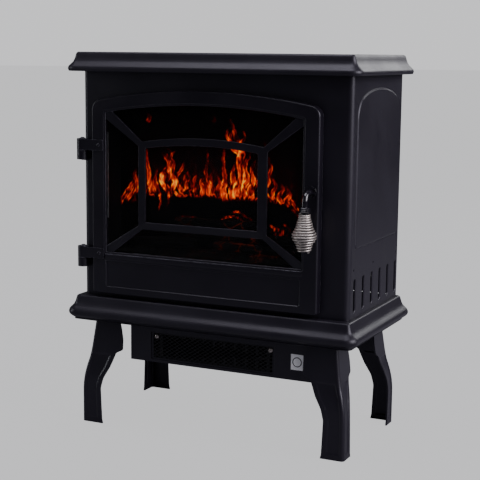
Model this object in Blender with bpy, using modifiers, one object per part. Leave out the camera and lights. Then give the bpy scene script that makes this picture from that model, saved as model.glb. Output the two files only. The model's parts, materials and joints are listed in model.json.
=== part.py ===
"""Free-standing electric stove fireplace, modelled piece by piece in metres, +Z up.

The origin is on the floor under the middle of the whole object, door handle included. The front faces -Y.
Depths along Y are given from the middle of the casing, which lies CASING_Y behind the origin.
"""

from math import asin, cos, hypot, pi, radians, sin, tan

import bmesh
import bpy
from mathutils import Matrix, Vector

# Frame and sheet metal
CASING_Y = 0.01975
GAP = 0.0003
SHEET = 0.0012
THIN_SHEET = 0.0009

# Casing, between the base plate and the top plate
CASING_HALF_WIDTH = 0.2008
CASING_HALF_DEPTH = 0.1018
CASING_CORNER = 0.0075
CASING_BOTTOM = 0.1875
CASING_TOP = 0.5030
FRONT_RETURN_DEPTH = 0.0090
REAR_RETURN_WIDTH = 0.0120
CASING_OPENING = (-0.1620, 0.1400, 0.2495, 0.4650)

# Moulded top plate and base plate: widest rim, and edge profile as (inset from the rim, height)
TOP_RIM = (0.2170, 0.1180)
TOP_Y = -0.0083
TOP_EDGE = (
    (0.0140, 0.5035), (0.0026, 0.5035), (0.0007, 0.5050), (0.0000, 0.5070), (0.0005, 0.5095),
    (0.0019, 0.5114), (0.0042, 0.5135), (0.0063, 0.5155), (0.0082, 0.5180), (0.0098, 0.5215),
    (0.0110, 0.5255), (0.0122, 0.5285), (0.0140, 0.5300),
)
BASE_RIM = (0.2190, 0.11965)
BASE_Y = -0.00785
BASE_EDGE = (
    (0.0620, 0.1522), (0.0130, 0.1522), (0.0090, 0.1545), (0.0050, 0.1568), (0.0022, 0.1590),
    (0.0006, 0.1610), (0.0000, 0.1632), (0.0003, 0.1655), (0.0014, 0.1678), (0.0034, 0.1700),
    (0.0056, 0.1720), (0.0078, 0.1746), (0.0095, 0.1780), (0.0108, 0.1820), (0.0120, 0.1856),
    (0.0136, 0.1872),
)
RIM_CORNER = 0.0160
AIR_INTAKE = (-0.1000, 0.1000, -0.0800, 0.0100)
AIR_INTAKE_CUT = (0.1800, 0.1900)

# Side panels
SIDE_SLOTS = 6
SIDE_SLOT_FIRST_Y = -0.0800
SIDE_SLOT_PITCH = 0.0336
SIDE_SLOT_WIDTH = 0.0076
SIDE_SLOT_HEIGHTS = (0.1950, 0.2390)
SIDE_ARCH = (-0.0840, 0.0890, 0.2790, 0.4710, 0.4870)
SIDE_ARCH_CORNER = 0.0320
SIDE_ARCH_RAISE = 0.0008

# Rear panel with its vents and controls
REAR_VENTS = 9
REAR_VENT_PITCH = 0.0200
REAR_VENT_SIZE = (0.0060, 0.0400)
REAR_VENT_HEIGHTS = (0.2150, 0.4400)
REAR_VENT_MIDDLE_X = -0.0550
CONTROL_OPENING = (0.0940, 0.1780, 0.4030, 0.4570)
BEZEL = (0.0920, 0.1800, 0.4000, 0.4600)
BEZEL_THICKNESS = 0.0018
ROCKER_X = {"rocker_flame": 0.1060, "rocker_low_heat": 0.1240, "rocker_high_heat": 0.1420}
ROCKER_Z = 0.4300
ROCKER_WIDTH = 0.0130
ROCKER_TILT = radians(10)
ROCKER_SECTION = (
    (-0.0040, -0.0060), (0.0034, -0.0090), (0.0022, 0.0), (0.0034, 0.0090), (-0.0040, 0.0060),
)
ROCKER_HOLE = (0.0072, 0.0106)
ROCKER_PIVOT_INSET = 0.0013
SWITCH_BLOCK_FRONT = 0.0800
SWITCH_BLOCK_MARGINS = (0.0100, 0.0095, 0.0150)
THERMOSTAT_BODY = (
    (0.0, 0.1015), (0.0050, 0.1015), (0.0050, 0.0980),
    (0.0115, 0.0980), (0.0115, 0.0830), (0.0, 0.0830),
)
KNOB_X = 0.1660
KNOB_SPINDLE_RADIUS = 0.0030
GLAND_PLACE = (0.1650, 0.2150)
GLAND_HOLE_RADIUS = 0.0066

# Legs: height, how far the corner has gone in from its lowest place, front face width, side face width
LEG_FOOT_CORNER = (0.2017, 0.1020)
LEG_TOP_CORNER = (0.1850, 0.0910)
LEG_ROWS = (
    (0.0000, 0.00, 0.0335, 0.0265), (0.0060, 0.00, 0.0320, 0.0250), (0.0520, 0.00, 0.0300, 0.0225),
    (0.0670, 0.08, 0.0326, 0.0240), (0.0830, 0.28, 0.0385, 0.0285), (0.0950, 0.50, 0.0400, 0.0320),
    (0.1050, 0.61, 0.0420, 0.0345), (0.1100, 0.66, 0.0520, 0.0430), (0.1250, 0.78, 0.0500, 0.0430),
    (0.1400, 0.90, 0.0450, 0.0400), (0.1519, 1.00, 0.0400, 0.0370),
)
LEG_CORNER_RADIUS = 0.0045
LEG_WALL = 0.0022
LEG_FLANGE_SIZE = 0.0300

# Heater module under the base
HOUSING = (-0.1290, 0.1500, -0.0950, 0.0250, 0.0972, 0.1518)
OUTLET = (-0.0960, 0.0940, 0.1012, 0.1412)
OUTLET_MESH_COLUMNS = 15
OUTLET_MESH_ROWS = 3
OUTLET_SCREW_X = (-0.0870, 0.0880)
OUTLET_SCREW_Z = 0.1345
BLOWER_AXIS = (-0.0450, 0.1255)
BLOWER_RADIUS = 0.0200
BLOWER_ENDS = (-0.0870, 0.0780)
BLOWER_BLADES = 16
BLOWER_SHAFT_RADIUS = 0.0025
BLOWER_SHAFT_OVERHANG = 0.0060
BLOWER_DISC = 0.0012
BLADE_INSET = 0.0032
BLADE_SECTION = (0.0008, 0.0056)
BLADE_LEAN = radians(35)
SHAFT_CLEARANCE = 0.0005
SCROLL_RADIUS = 0.0232
SCROLL_WALL = 0.0010
SCROLL_SWEEP = (radians(-90), radians(20))
SCROLL_LIP = -0.0780
SCROLL_OVERHANG = 0.0030
CHEEK = (-0.0790, -0.0200, 0.1000, 0.1500)
CHEEK_CORNER = 0.0030
CHEEK_OFFSET = 0.0033
STATOR_HALF_SIZE = 0.0190
STATOR_SPAN = (0.0008, 0.0300)
HEATER_BLOCK = (-0.0840, 0.0860, 0.1020, 0.1410)
HEATER_DEPTHS = (-0.0915, -0.0800)
HEATER_COLUMNS = 10
HEATER_RIM = 0.0030
HEATER_ROWS = ((0.1060, 0.1195), (0.1235, 0.1370))
HEATER_BAR = 0.0040
CUTOUT_PLACE = (-0.1060, -0.0600)
CUTOUT_PROFILE = (
    (0.0, 0.0080), (0.0060, 0.0080), (0.0060, 0.0030),
    (0.0085, 0.0030), (0.0085, 0.0), (0.0, 0.0),
)

# Door: outer edges (left, right, bottom, corner height, top of the arch)
DOOR = (-0.1790, 0.1615, 0.1930, 0.4635, 0.4800)
DOOR_FRONT = -0.1160
DOOR_BACK = -0.1033
DOOR_WALL = 0.0018
DOOR_CORNER = 0.0150
WINDOW = (-0.1570, 0.1386, 0.2530, 0.4473, 0.4602)
GRILLE_OUTER = (-0.1055, 0.0882, 0.2880, 0.4084, 0.4168)
GRILLE_INNER = (-0.0944, 0.0743, 0.2984, 0.4005, 0.4066)
GRILLE_DIAGONAL = 0.0105
GRILLE_RIM = 0.0030
GRILLE_THICKNESS = 0.0030
GLASS_MARGIN = 0.0038
GLASS_THICKNESS = 0.0040
SIDE_CLIP_HEIGHTS = (0.3000, 0.4200)
BOTTOM_CLIP_ENDS = (-0.1200, 0.1000)
CLIP_OVERLAP = 0.0030

# Hinges
HINGE_AXIS = (-0.1968, -0.1110)
KNUCKLE_RADIUS = 0.0078
HINGE_HEIGHTS = {"lower": 0.2422, "upper": 0.3940}
STRAP_HEIGHT = 0.0160
FIXED_KNUCKLE_HEIGHT = 0.0132
STRAP_END_X = -0.1595
HINGE_PIN_RADIUS = 0.0022
HINGE_BORE_RADIUS = 0.0026

# Handle
HANDLE_X = 0.1505
HANDLE_Z = 0.3550
HANDLE_Y = -0.13505
ROD_RADIUS = 0.0040
ROD_BEND = 0.0120
ROD_LOWEST = 0.2795
GRIP_OUTSIDE = (
    (0.0078, 0.3297), (0.0085, 0.3223), (0.0103, 0.3165), (0.0117, 0.3100), (0.0146, 0.3040),
    (0.01625, 0.2990), (0.0151, 0.2942), (0.0115, 0.2893), (0.0100, 0.2835), (0.0069, 0.2780),
)
GRIP_WALL = 0.0030
LATCH_SLOT = (0.1435, 0.1575, 0.3285, 0.3640)
TONGUE_LENGTH = 0.0235

# Firebox
SHELF = 0.2430
FIREBOX = (-0.1660, 0.1415, 0.2446, 0.4700)
FIREBOX_DEPTHS = (-0.0999, -0.0600)
EMBER_BED = (-0.1600, 0.1350, -0.0970, -0.0620, 0.2462, 0.2600)
SCREEN_DEPTHS = (-0.0597, -0.0567)
MASK_DEPTHS = (-0.0480, -0.0470)
MASK_TONGUES = 9
MASK_BORDER = 0.0150
MASK_TONGUE_FOOT = 0.3050
MASK_SHORTEST = 0.0750
MASK_EXTRA_HEIGHT = 0.0450
MASK_LEAN = 0.0060
MASK_STEPS = 8
LOGS = {
    "fire_log_back": ((-0.1400, -0.0725, 0.2790), (0.1180, -0.0725, 0.2800), 0.0105, 0.0),
    "fire_log_left": ((-0.1500, -0.0890, 0.2690), (-0.0280, -0.0890, 0.2710), 0.0075, 1.3),
    "fire_log_right": ((0.0000, -0.0890, 0.2710), (0.1260, -0.0890, 0.2690), 0.0075, 2.1),
    "fire_log_top": ((-0.0650, -0.0820, 0.2985), (0.0600, -0.0760, 0.3000), 0.0070, 3.4),
}

# Flame effect behind the screen
ROTOR_AXIS = (-0.0180, 0.2900)
ROTOR_ENDS = (-0.1620, 0.1176)
ROTOR_RADIUS = 0.0020
ROTOR_VANES = 9
VANE_SIZE = (0.0090, 0.0280, 0.0007)
VANE_BORDER = 0.0200
VANE_START = 0.0160
VANE_FIRST_TURN = 0.1
VANE_TURN = radians(40)
VANE_SKEW = radians(20)
BOARD_ENDS = (-0.1300, 0.1050)
BOARD_HALF_WIDTH = 0.0100
BOARD_HEIGHT = 0.0060
BOARD_THICKNESS = 0.0016
BOARD_POST_RADIUS = 0.0030
BOARD_POST_X = (-0.1150, 0.0900)

ROUND_STEPS = 24
SMOOTH_ANGLE = radians(35)

PARTS = "electric_fireplace"
CUTTERS = "cutters"

FINISHES = {
    "black_coat": ((0.012, 0.012, 0.014), 0.42, 0.0),
    "door_coat": ((0.010, 0.010, 0.012), 0.38, 0.0),
    "inner_black": ((0.008, 0.008, 0.008), 0.70, 0.0),
    "bright_steel": ((0.720, 0.710, 0.690), 0.22, 1.0),
    "galvanised": ((0.420, 0.420, 0.420), 0.45, 1.0),
    "glass": ((0.850, 0.870, 0.880), 0.05, 0.0),
    "screen": ((0.060, 0.030, 0.018), 0.25, 0.0),
    "embers": ((0.080, 0.030, 0.015), 0.80, 0.0),
    "log_bark": ((0.045, 0.030, 0.022), 0.85, 0.0),
    "black_plastic": ((0.020, 0.020, 0.020), 0.50, 0.0),
    "nylon": ((0.700, 0.680, 0.620), 0.55, 0.0),
    "board": ((0.700, 0.720, 0.680), 0.60, 0.0),
    "heater_fins": ((0.500, 0.500, 0.500), 0.50, 1.0),
    "red_rocker": ((0.350, 0.015, 0.010), 0.35, 0.0),
}


def clear_scene():
    for item in list(bpy.data.objects):
        bpy.data.objects.remove(item, do_unlink=True)


def new_collection(name):
    collection = bpy.data.collections.new(name)
    bpy.context.scene.collection.children.link(collection)
    return collection


def make_finish(name, colour, roughness, metallic):
    finish = bpy.data.materials.new(name)
    finish.use_nodes = True
    shader = finish.node_tree.nodes["Principled BSDF"]
    shader.inputs["Base Color"].default_value = (*colour, 1.0)
    shader.inputs["Roughness"].default_value = roughness
    shader.inputs["Metallic"].default_value = metallic
    return finish


def set_finish(item, name):
    """Give one object its own material, made from the named finish."""
    item.data.materials.clear()
    item.data.materials.append(make_finish(f"{item.name}_{name}", *FINISHES[name]))
    return item


def add_mesh(name, shape, finish=None, collection=PARTS, smooth=False):
    """Turn a bmesh into an object of the model or of the cutters."""
    mesh = bpy.data.meshes.new(name)
    shape.to_mesh(mesh)
    shape.free()
    if smooth:
        mesh.shade_smooth()
        mesh.set_sharp_from_angle(angle=SMOOTH_ANGLE)
    item = bpy.data.objects.new(name, mesh)
    bpy.data.collections[collection].objects.link(item)
    if collection == CUTTERS:
        item.hide_render = True
        item.display_type = "WIRE"
    if finish:
        set_finish(item, finish)
    return item


def apply_boolean(item, tool, operation):
    modifier = item.modifiers.new(f"{operation.lower()}_{tool.name}", "BOOLEAN")
    modifier.operation = operation
    modifier.object = tool
    modifier.solver = "EXACT"


def cut(item, tool):
    apply_boolean(item, tool, "DIFFERENCE")


def unite(item, tool):
    apply_boolean(item, tool, "UNION")


def facing(direction, middle):
    """Place of a flat outline's middle plane: its X and Y become the two axes that it spans."""
    if direction == "front":
        return Matrix.Translation((0, middle, 0)) @ Matrix.Rotation(pi / 2, 4, "X")
    if direction == "side":
        turn = Matrix.Rotation(pi / 2, 4, "Z") @ Matrix.Rotation(pi / 2, 4, "X")
        return Matrix.Translation((middle, 0, 0)) @ turn
    return Matrix.Translation((0, 0, middle))


def plate(name, outlines, span, direction, finish=None, collection=PARTS):
    """A flat piece between two heights along its direction. Outlines after the first are holes."""
    curve = bpy.data.curves.new(f"{name}_outline", "CURVE")
    curve.dimensions = "2D"
    curve.fill_mode = "BOTH"
    curve.extrude = (span[1] - span[0]) / 2
    for outline in outlines:
        spline = curve.splines.new("POLY")
        spline.points.add(len(outline) - 1)
        for point, place in zip(spline.points, outline):
            point.co = (place[0], place[1], 0.0, 1.0)
        spline.use_cyclic_u = True
    drawing = bpy.data.objects.new(f"{name}_drawing", curve)
    bpy.data.collections[collection].objects.link(drawing)
    view = bpy.context.evaluated_depsgraph_get()
    mesh = bpy.data.meshes.new_from_object(drawing.evaluated_get(view))
    bpy.data.objects.remove(drawing, do_unlink=True)
    shape = bmesh.new()
    shape.from_mesh(mesh)
    bpy.data.meshes.remove(mesh)
    bmesh.ops.remove_doubles(shape, verts=shape.verts, dist=0.00001)
    shape.transform(facing(direction, (span[0] + span[1]) / 2))
    return add_mesh(name, shape, finish, collection)


def box(name, low, high, finish=None, collection=PARTS, edge=0.0):
    shape = bmesh.new()
    size = [top - bottom for bottom, top in zip(low, high)]
    middle = [(top + bottom) / 2 for bottom, top in zip(low, high)]
    place = Matrix.Translation(middle) @ Matrix.Diagonal((*size, 1.0))
    bmesh.ops.create_cube(shape, size=1.0, matrix=place)
    item = add_mesh(name, shape, finish, collection)
    if edge:
        bevel = item.modifiers.new("edges", "BEVEL")
        bevel.width = edge
        bevel.segments = 1
    return item


def aim(axis):
    """Turn +Z to a world axis."""
    if axis == "X":
        return Matrix.Rotation(pi / 2, 4, "Y")
    if axis == "Y":
        return Matrix.Rotation(-pi / 2, 4, "X")
    return Matrix.Identity(4)


def turned(name, profile, origin, axis, finish=None, collection=PARTS, steps=ROUND_STEPS, closed=False):
    """A turned piece: the profile is (radius, height) down its outer side, a ring's profile closed."""
    shape = bmesh.new()
    corners = [shape.verts.new((radius, 0.0, height)) for radius, height in profile]
    for first, second in zip(corners, corners[1:]):
        shape.edges.new((first, second))
    if closed:
        shape.edges.new((corners[-1], corners[0]))
    item = add_mesh(name, shape, finish, collection)
    item.matrix_world = Matrix.Translation(origin) @ aim(axis)
    screw = item.modifiers.new("turn", "SCREW")
    screw.axis = "Z"
    screw.angle = 2 * pi
    screw.steps = steps
    screw.render_steps = steps
    screw.use_merge_vertices = True
    screw.merge_threshold = 0.00001
    screw.use_smooth_shade = True
    return item


def cylinder(name, radius, span, centre, axis, finish=None, collection=PARTS, steps=ROUND_STEPS):
    """A plain round bar between two heights along its axis."""
    shape = bmesh.new()
    length = span[1] - span[0]
    place = Matrix.Translation(centre) @ aim(axis) @ Matrix.Translation((0, 0, (span[0] + span[1]) / 2))
    bmesh.ops.create_cone(
        shape, cap_ends=True, segments=steps, radius1=radius, radius2=radius, depth=length, matrix=place
    )
    return add_mesh(name, shape, finish, collection, smooth=True)


def ring(inner, outer, low, high):
    """Closed profile of a plain ring."""
    return [(outer, high), (outer, low), (inner, low), (inner, high)]


def loft(rings, cap_first, cap_last):
    """Join rings of points, each with the same count, with faces that point outwards."""
    shape = bmesh.new()
    rows = [[shape.verts.new(point) for point in row] for row in rings]
    count = len(rows[0])
    for lower, upper in zip(rows, rows[1:]):
        for index in range(count):
            following = (index + 1) % count
            shape.faces.new((lower[index], lower[following], upper[following], upper[index]))
    if cap_first:
        shape.faces.new(list(reversed(rows[0])))
    if cap_last:
        shape.faces.new(rows[-1])
    return shape


def fillet(points, radii, steps=4):
    """Round the corners of a closed outline."""
    outline = []
    count = len(points)
    for index, radius in enumerate(radii):
        corner = Vector(points[index])
        before = (Vector(points[index - 1]) - corner).normalized()
        after = (Vector(points[(index + 1) % count]) - corner).normalized()
        if radius == 0:
            outline.append(tuple(corner))
            continue
        half = before.angle(after) / 2
        reach = radius / tan(half)
        middle = corner + (before + after).normalized() * hypot(radius, reach)
        start = corner + before * reach - middle
        turn = start.angle_signed(corner + after * reach - middle)
        for step in range(steps + 1):
            spoke = Matrix.Rotation(-turn * step / steps, 2) @ start
            outline.append(tuple(middle + spoke))
    return outline


def rectangle(left, right, bottom, top, radius=0.0, steps=3):
    corners = [(left, bottom), (right, bottom), (right, top), (left, top)]
    return fillet(corners, [radius] * 4, steps)


def arch_line(left, right, spring, apex, steps):
    """Points from right to left along a shallow arc."""
    half = (right - left) / 2
    rise = apex - spring
    radius = (half * half + rise * rise) / (2 * rise)
    spread = asin(half / radius)
    centre = ((left + right) / 2, apex - radius)
    angles = [spread - 2 * spread * step / steps for step in range(steps + 1)]
    return [(centre[0] + radius * sin(angle), centre[1] + radius * cos(angle)) for angle in angles]


def arched(left, right, bottom, spring, apex, radius=0.0, foot_radius=0.0, steps=14):
    """Outline with a straight foot and a shallow arch on top."""
    arch = arch_line(left, right, spring, apex, steps)
    radii = [foot_radius, foot_radius, radius, *[0.0] * (steps - 1), radius]
    return fillet([(left, bottom), (right, bottom), *arch], radii)


def grow(shape, margin):
    """An arched or straight shape's sizes, grown outwards by a margin."""
    signs = (-1, 1, -1, 1, 1)
    return tuple(value + sign * margin for value, sign in zip(shape, signs))


def circle(x, y, radius, steps=16):
    angles = [2 * pi * step / steps for step in range(steps)]
    return [(x + radius * cos(angle), y + radius * sin(angle)) for angle in angles]


def bore(name, radius, span, centre, axis):
    return cylinder(name, radius, span, centre, axis, collection=CUTTERS)


def depth(value):
    """World Y of a depth given from the middle of the casing."""
    return CASING_Y + value


def depths(low, high):
    return depth(low), depth(high)


def rounded_ring(half_x, half_y, middle_y, height, radius):
    outline = rectangle(-half_x, half_x, middle_y - half_y, middle_y + half_y, radius)
    return [(x, y, height) for x, y in outline]


def moulded_pan(name, rim, middle_y, edge):
    """A pressed sheet pan with a moulded edge, open in the middle of its underside."""
    rings = []
    for inset, height in edge:
        radius = max(RIM_CORNER - inset, 0.0040)
        rings.append(rounded_ring(rim[0] - inset, rim[1] - inset, depth(middle_y), height, radius))
    item = add_mesh(name, loft(rings, False, True), "black_coat", smooth=True)
    wall = item.modifiers.new("sheet", "SOLIDIFY")
    wall.thickness = THIN_SHEET
    wall.offset = -1.0
    return item


def make_top_and_base():
    moulded_pan("top_plate", TOP_RIM, TOP_Y, TOP_EDGE)
    base = moulded_pan("base_plate", BASE_RIM, BASE_Y, BASE_EDGE)
    left, right, front, rear = AIR_INTAKE
    low, high = AIR_INTAKE_CUT
    cut(base, box("air_intake", (left, depth(front), low), (right, depth(rear), high), collection=CUTTERS))


def corner_arc(centre_x, centre_y, radius, start, end, steps=5):
    angles = [start + (end - start) * step / steps for step in range(steps + 1)]
    return [(centre_x + radius * cos(angle), centre_y + radius * sin(angle)) for angle in angles]


def front_sheet(inset):
    """Line of the front panel with its two rounded corners and short side returns."""
    half_x = CASING_HALF_WIDTH - inset
    radius = CASING_CORNER - inset
    side = CASING_HALF_WIDTH - CASING_CORNER
    front = depth(-CASING_HALF_DEPTH) + CASING_CORNER
    back = depth(-CASING_HALF_DEPTH) + FRONT_RETURN_DEPTH
    left = corner_arc(-side, front, radius, pi, 1.5 * pi)
    right = corner_arc(side, front, radius, 1.5 * pi, 2 * pi)
    return [(-half_x, back), *left, *right, (half_x, back)]


def make_front_panel():
    section = front_sheet(0.0) + list(reversed(front_sheet(SHEET)))
    panel = plate("front_panel", [section], (CASING_BOTTOM, CASING_TOP), "top", "black_coat")
    span = depths(-0.1100, -0.0950)
    cut(panel, plate("front_opening", [rectangle(*CASING_OPENING)], span, "front", collection=CUTTERS))
    cut(panel, plate("latch_slot", [rectangle(*LATCH_SLOT, 0.0030)], span, "front", collection=CUTTERS))


def side_sheet(inset):
    """Line of a side panel on the +X side, from its front seam round the rear corner."""
    half_x = CASING_HALF_WIDTH - inset
    radius = CASING_CORNER - inset
    front = depth(-CASING_HALF_DEPTH) + FRONT_RETURN_DEPTH + GAP
    rear = depth(CASING_HALF_DEPTH) - CASING_CORNER
    corner = corner_arc(CASING_HALF_WIDTH - CASING_CORNER, rear, radius, 0.0, pi / 2)
    end = (CASING_HALF_WIDTH - REAR_RETURN_WIDTH, rear + radius)
    return [(half_x, front), *corner, end]


def make_side_panels():
    edges = [depth(value) for value in SIDE_ARCH[:2]]
    arch = arched(*edges, *SIDE_ARCH[2:], radius=SIDE_ARCH_CORNER, foot_radius=0.0040, steps=4)
    slots = []
    for index in range(SIDE_SLOTS):
        middle = depth(SIDE_SLOT_FIRST_Y + index * SIDE_SLOT_PITCH)
        edges = (middle - SIDE_SLOT_WIDTH / 2, middle + SIDE_SLOT_WIDTH / 2)
        slots.append(rectangle(*edges, *SIDE_SLOT_HEIGHTS, 0.0036))
    for side, sign in (("left", -1), ("right", 1)):
        section = side_sheet(0.0) + list(reversed(side_sheet(SHEET)))
        section = [(sign * x, y) for x, y in section]
        panel = plate(f"{side}_side_panel", [section], (CASING_BOTTOM, CASING_TOP), "top", "black_coat")
        face = sign * CASING_HALF_WIDTH
        raised = sorted((face - sign * SHEET / 2, face + sign * SIDE_ARCH_RAISE))
        unite(panel, plate(f"{side}_arch", [arch], raised, "side", collection=CUTTERS))
        through = sorted((face - sign * 0.0050, face + sign * 0.0050))
        for index, slot in enumerate(slots):
            cut(panel, plate(f"{side}_slot_{index}", [slot], through, "side", collection=CUTTERS))


def make_rear_panel():
    half = CASING_HALF_WIDTH - REAR_RETURN_WIDTH - GAP
    outlines = [rectangle(-half, half, CASING_BOTTOM, CASING_TOP), rectangle(*CONTROL_OPENING, 0.0020)]
    width, height = REAR_VENT_SIZE
    for middle_z in REAR_VENT_HEIGHTS:
        for index in range(REAR_VENTS):
            x = REAR_VENT_MIDDLE_X + (index - (REAR_VENTS - 1) / 2) * REAR_VENT_PITCH
            z = (middle_z - height / 2, middle_z + height / 2)
            outlines.append(rectangle(x - width / 2, x + width / 2, *z, 0.0029, 3))
    outlines.append(circle(*GLAND_PLACE, GLAND_HOLE_RADIUS, ROUND_STEPS))
    rear = CASING_HALF_DEPTH
    plate("rear_panel", outlines, depths(rear - SHEET, rear), "front", "black_coat")


def leg_row(height, gone_in, front_width, side_width, signs):
    """One level of a leg's bent sheet: along the front face, round the corner, along the side face."""
    foot = Vector(LEG_FOOT_CORNER)
    corner = foot.lerp(Vector(LEG_TOP_CORNER), gone_in)
    radius = LEG_CORNER_RADIUS
    points = [(corner.x - front_width, corner.y)]
    points += corner_arc(corner.x - radius, corner.y - radius, radius, pi / 2, 0.0, 4)
    points.append((corner.x, corner.y - side_width))
    middle = depth(BASE_Y)
    return [(signs[0] * x, middle + signs[1] * y, height) for x, y in points]


def make_leg(name, signs):
    rows = [leg_row(*row, signs) for row in LEG_ROWS]
    shape = bmesh.new()
    grid = [[shape.verts.new(point) for point in row] for row in rows]
    flipped = signs[0] * signs[1] < 0
    for lower, upper in zip(grid, grid[1:]):
        for index in range(len(lower) - 1):
            corners = [lower[index], lower[index + 1], upper[index + 1], upper[index]]
            shape.faces.new(corners if flipped else reversed(corners))
    leg = add_mesh(name, shape, "black_coat", smooth=True)
    wall = leg.modifiers.new("sheet", "SOLIDIFY")
    wall.thickness = LEG_WALL
    wall.offset = -1.0
    top = LEG_ROWS[-1][0]
    near = [value - LEG_WALL / 2 for value in LEG_TOP_CORNER]
    far = [value - LEG_FLANGE_SIZE for value in LEG_TOP_CORNER]
    xs = sorted((signs[0] * near[0], signs[0] * far[0]))
    ys = sorted((depth(BASE_Y) + signs[1] * near[1], depth(BASE_Y) + signs[1] * far[1]))
    low = (xs[0], ys[0], top - LEG_WALL - 0.0001)
    high = (xs[1], ys[1], top - 0.0001)
    unite(leg, box(f"{name}_flange", low, high, collection=CUTTERS))


def make_legs():
    for front_rear, sign_y in (("front", -1), ("rear", 1)):
        for side, sign_x in (("left", -1), ("right", 1)):
            make_leg(f"leg_{front_rear}_{side}", (sign_x, sign_y))


def make_heater_housing():
    left, right, front, rear, bottom, top = HOUSING
    shape = bmesh.new()
    middle = ((left + right) / 2, depth((front + rear) / 2), (bottom + top) / 2)
    size = Matrix.Diagonal((right - left, rear - front, top - bottom, 1.0))
    bmesh.ops.create_cube(shape, size=1.0, matrix=Matrix.Translation(middle) @ size)
    lid = max(shape.faces, key=lambda face: face.calc_center_median().z)
    bmesh.ops.delete(shape, geom=[lid], context="FACES_ONLY")
    housing = add_mesh("heater_housing", shape, "black_coat")
    wall = housing.modifiers.new("sheet", "SOLIDIFY")
    wall.thickness = THIN_SHEET
    wall.offset = -1.0
    wall.use_even_offset = True
    span = depths(front - 0.0050, front + 0.0050)
    cut(housing, plate("outlet_window", [rectangle(*OUTLET, 0.0020)], span, "front", collection=CUTTERS))


def make_outlet_grille():
    left, right, bottom, top = grow(OUTLET, 0.0024)
    outlines = [rectangle(left, right, bottom, top)]
    pitch_x = (OUTLET[1] - OUTLET[0] - 0.0240) / OUTLET_MESH_COLUMNS
    pitch_z = (OUTLET[3] - OUTLET[2]) / (OUTLET_MESH_ROWS + 0.5)
    middle_x = (OUTLET[0] + OUTLET[1]) / 2
    middle_z = (OUTLET[2] + OUTLET[3]) / 2
    for row in range(OUTLET_MESH_ROWS):
        for column in range(OUTLET_MESH_COLUMNS):
            x = middle_x + (column - (OUTLET_MESH_COLUMNS - 1) / 2) * pitch_x
            z = middle_z + (row - (OUTLET_MESH_ROWS - 1) / 2) * pitch_z
            reach_x = 0.42 * pitch_x
            reach_z = 0.42 * pitch_z
            outlines.append([(x - reach_x, z), (x, z - reach_z), (x + reach_x, z), (x, z + reach_z)])
    for x in OUTLET_SCREW_X:
        outlines.append(circle(x, OUTLET_SCREW_Z, 0.0018, 12))
    behind = HOUSING[2] + THIN_SHEET + GAP
    plate("outlet_grille", outlines, depths(behind, behind + THIN_SHEET), "front", "black_coat")
    profile = [
        (0.0, 0.0022), (0.0018, 0.0019), (0.0030, 0.0010), (0.0033, 0.0),
        (0.0014, 0.0), (0.0014, -0.0040), (0.0, -0.0040),
    ]
    for side, x in zip(("left", "right"), OUTLET_SCREW_X):
        origin = (x, depth(behind) - GAP, OUTLET_SCREW_Z)
        screw = turned(f"outlet_screw_{side}", profile, origin, "Z", "bright_steel", steps=12)
        screw.matrix_world = Matrix.Translation(origin) @ Matrix.Rotation(pi / 2, 4, "X")


def make_blower():
    axis_y, axis_z = depth(BLOWER_AXIS[0]), BLOWER_AXIS[1]
    first, last = BLOWER_ENDS
    middle = (first + last) / 2
    disc = BLOWER_DISC
    hub = BLOWER_SHAFT_RADIUS
    rim = BLOWER_RADIUS
    shaft_end = last + BLOWER_SHAFT_OVERHANG
    shaft_start = first - BLOWER_SHAFT_OVERHANG
    profile = [(0.0, shaft_end), (hub, shaft_end)]
    for plane in (last - disc, middle - disc / 2, first):
        profile += [(hub, plane + disc), (rim, plane + disc), (rim, plane), (hub, plane)]
    profile += [(hub, shaft_start), (0.0, shaft_start)]
    wheel = turned("blower_wheel", profile, (0.0, axis_y, axis_z), "X", "galvanised")
    blades = bmesh.new()
    for index in range(BLOWER_BLADES):
        place = Matrix.Translation((middle, axis_y, axis_z))
        place @= Matrix.Rotation(2 * pi * index / BLOWER_BLADES, 4, "X")
        place @= Matrix.Translation((0.0, 0.0, BLOWER_RADIUS - BLADE_INSET))
        place @= Matrix.Rotation(BLADE_LEAN, 4, "X")
        place @= Matrix.Diagonal((last - first - disc, *BLADE_SECTION, 1.0))
        bmesh.ops.create_cube(blades, size=1.0, matrix=place)
    unite(wheel, add_mesh("blower_blades", blades, collection=CUTTERS))

    outer = corner_arc(axis_y, axis_z, SCROLL_RADIUS + SCROLL_WALL, *SCROLL_SWEEP, 10)
    inner = corner_arc(axis_y, axis_z, SCROLL_RADIUS, *SCROLL_SWEEP, 10)
    lip = depth(SCROLL_LIP)
    section = [(lip, outer[0][1]), *outer, *reversed(inner), (lip, inner[0][1])]
    span = (first - SCROLL_OVERHANG, last + SCROLL_OVERHANG)
    plate("blower_scroll", [section], span, "side", "galvanised")
    front, rear, bottom, top = CHEEK
    cheek = rectangle(depth(front), depth(rear), bottom, top, CHEEK_CORNER)
    hole = circle(axis_y, axis_z, hub + SHAFT_CLEARANCE, ROUND_STEPS)
    edge = first - CHEEK_OFFSET
    plate("blower_cheek", [cheek, hole], (edge - THIN_SHEET, edge), "side", "galvanised")
    edge = last + CHEEK_OFFSET
    motor = plate("blower_motor", [cheek, hole], (edge, edge + THIN_SHEET), "side", "galvanised")
    low, high = STATOR_SPAN
    half = STATOR_HALF_SIZE
    stator_low = (edge + low, axis_y - half, axis_z - half)
    stator_high = (edge + high, axis_y + half, axis_z + half)
    stator = box("motor_stator", stator_low, stator_high, collection=CUTTERS)
    unite(motor, stator)
    span = (edge - THIN_SHEET, edge + BLOWER_SHAFT_OVERHANG)
    cut(motor, bore("motor_bore", hub + SHAFT_CLEARANCE, span, (0, axis_y, axis_z), "X"))


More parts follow.
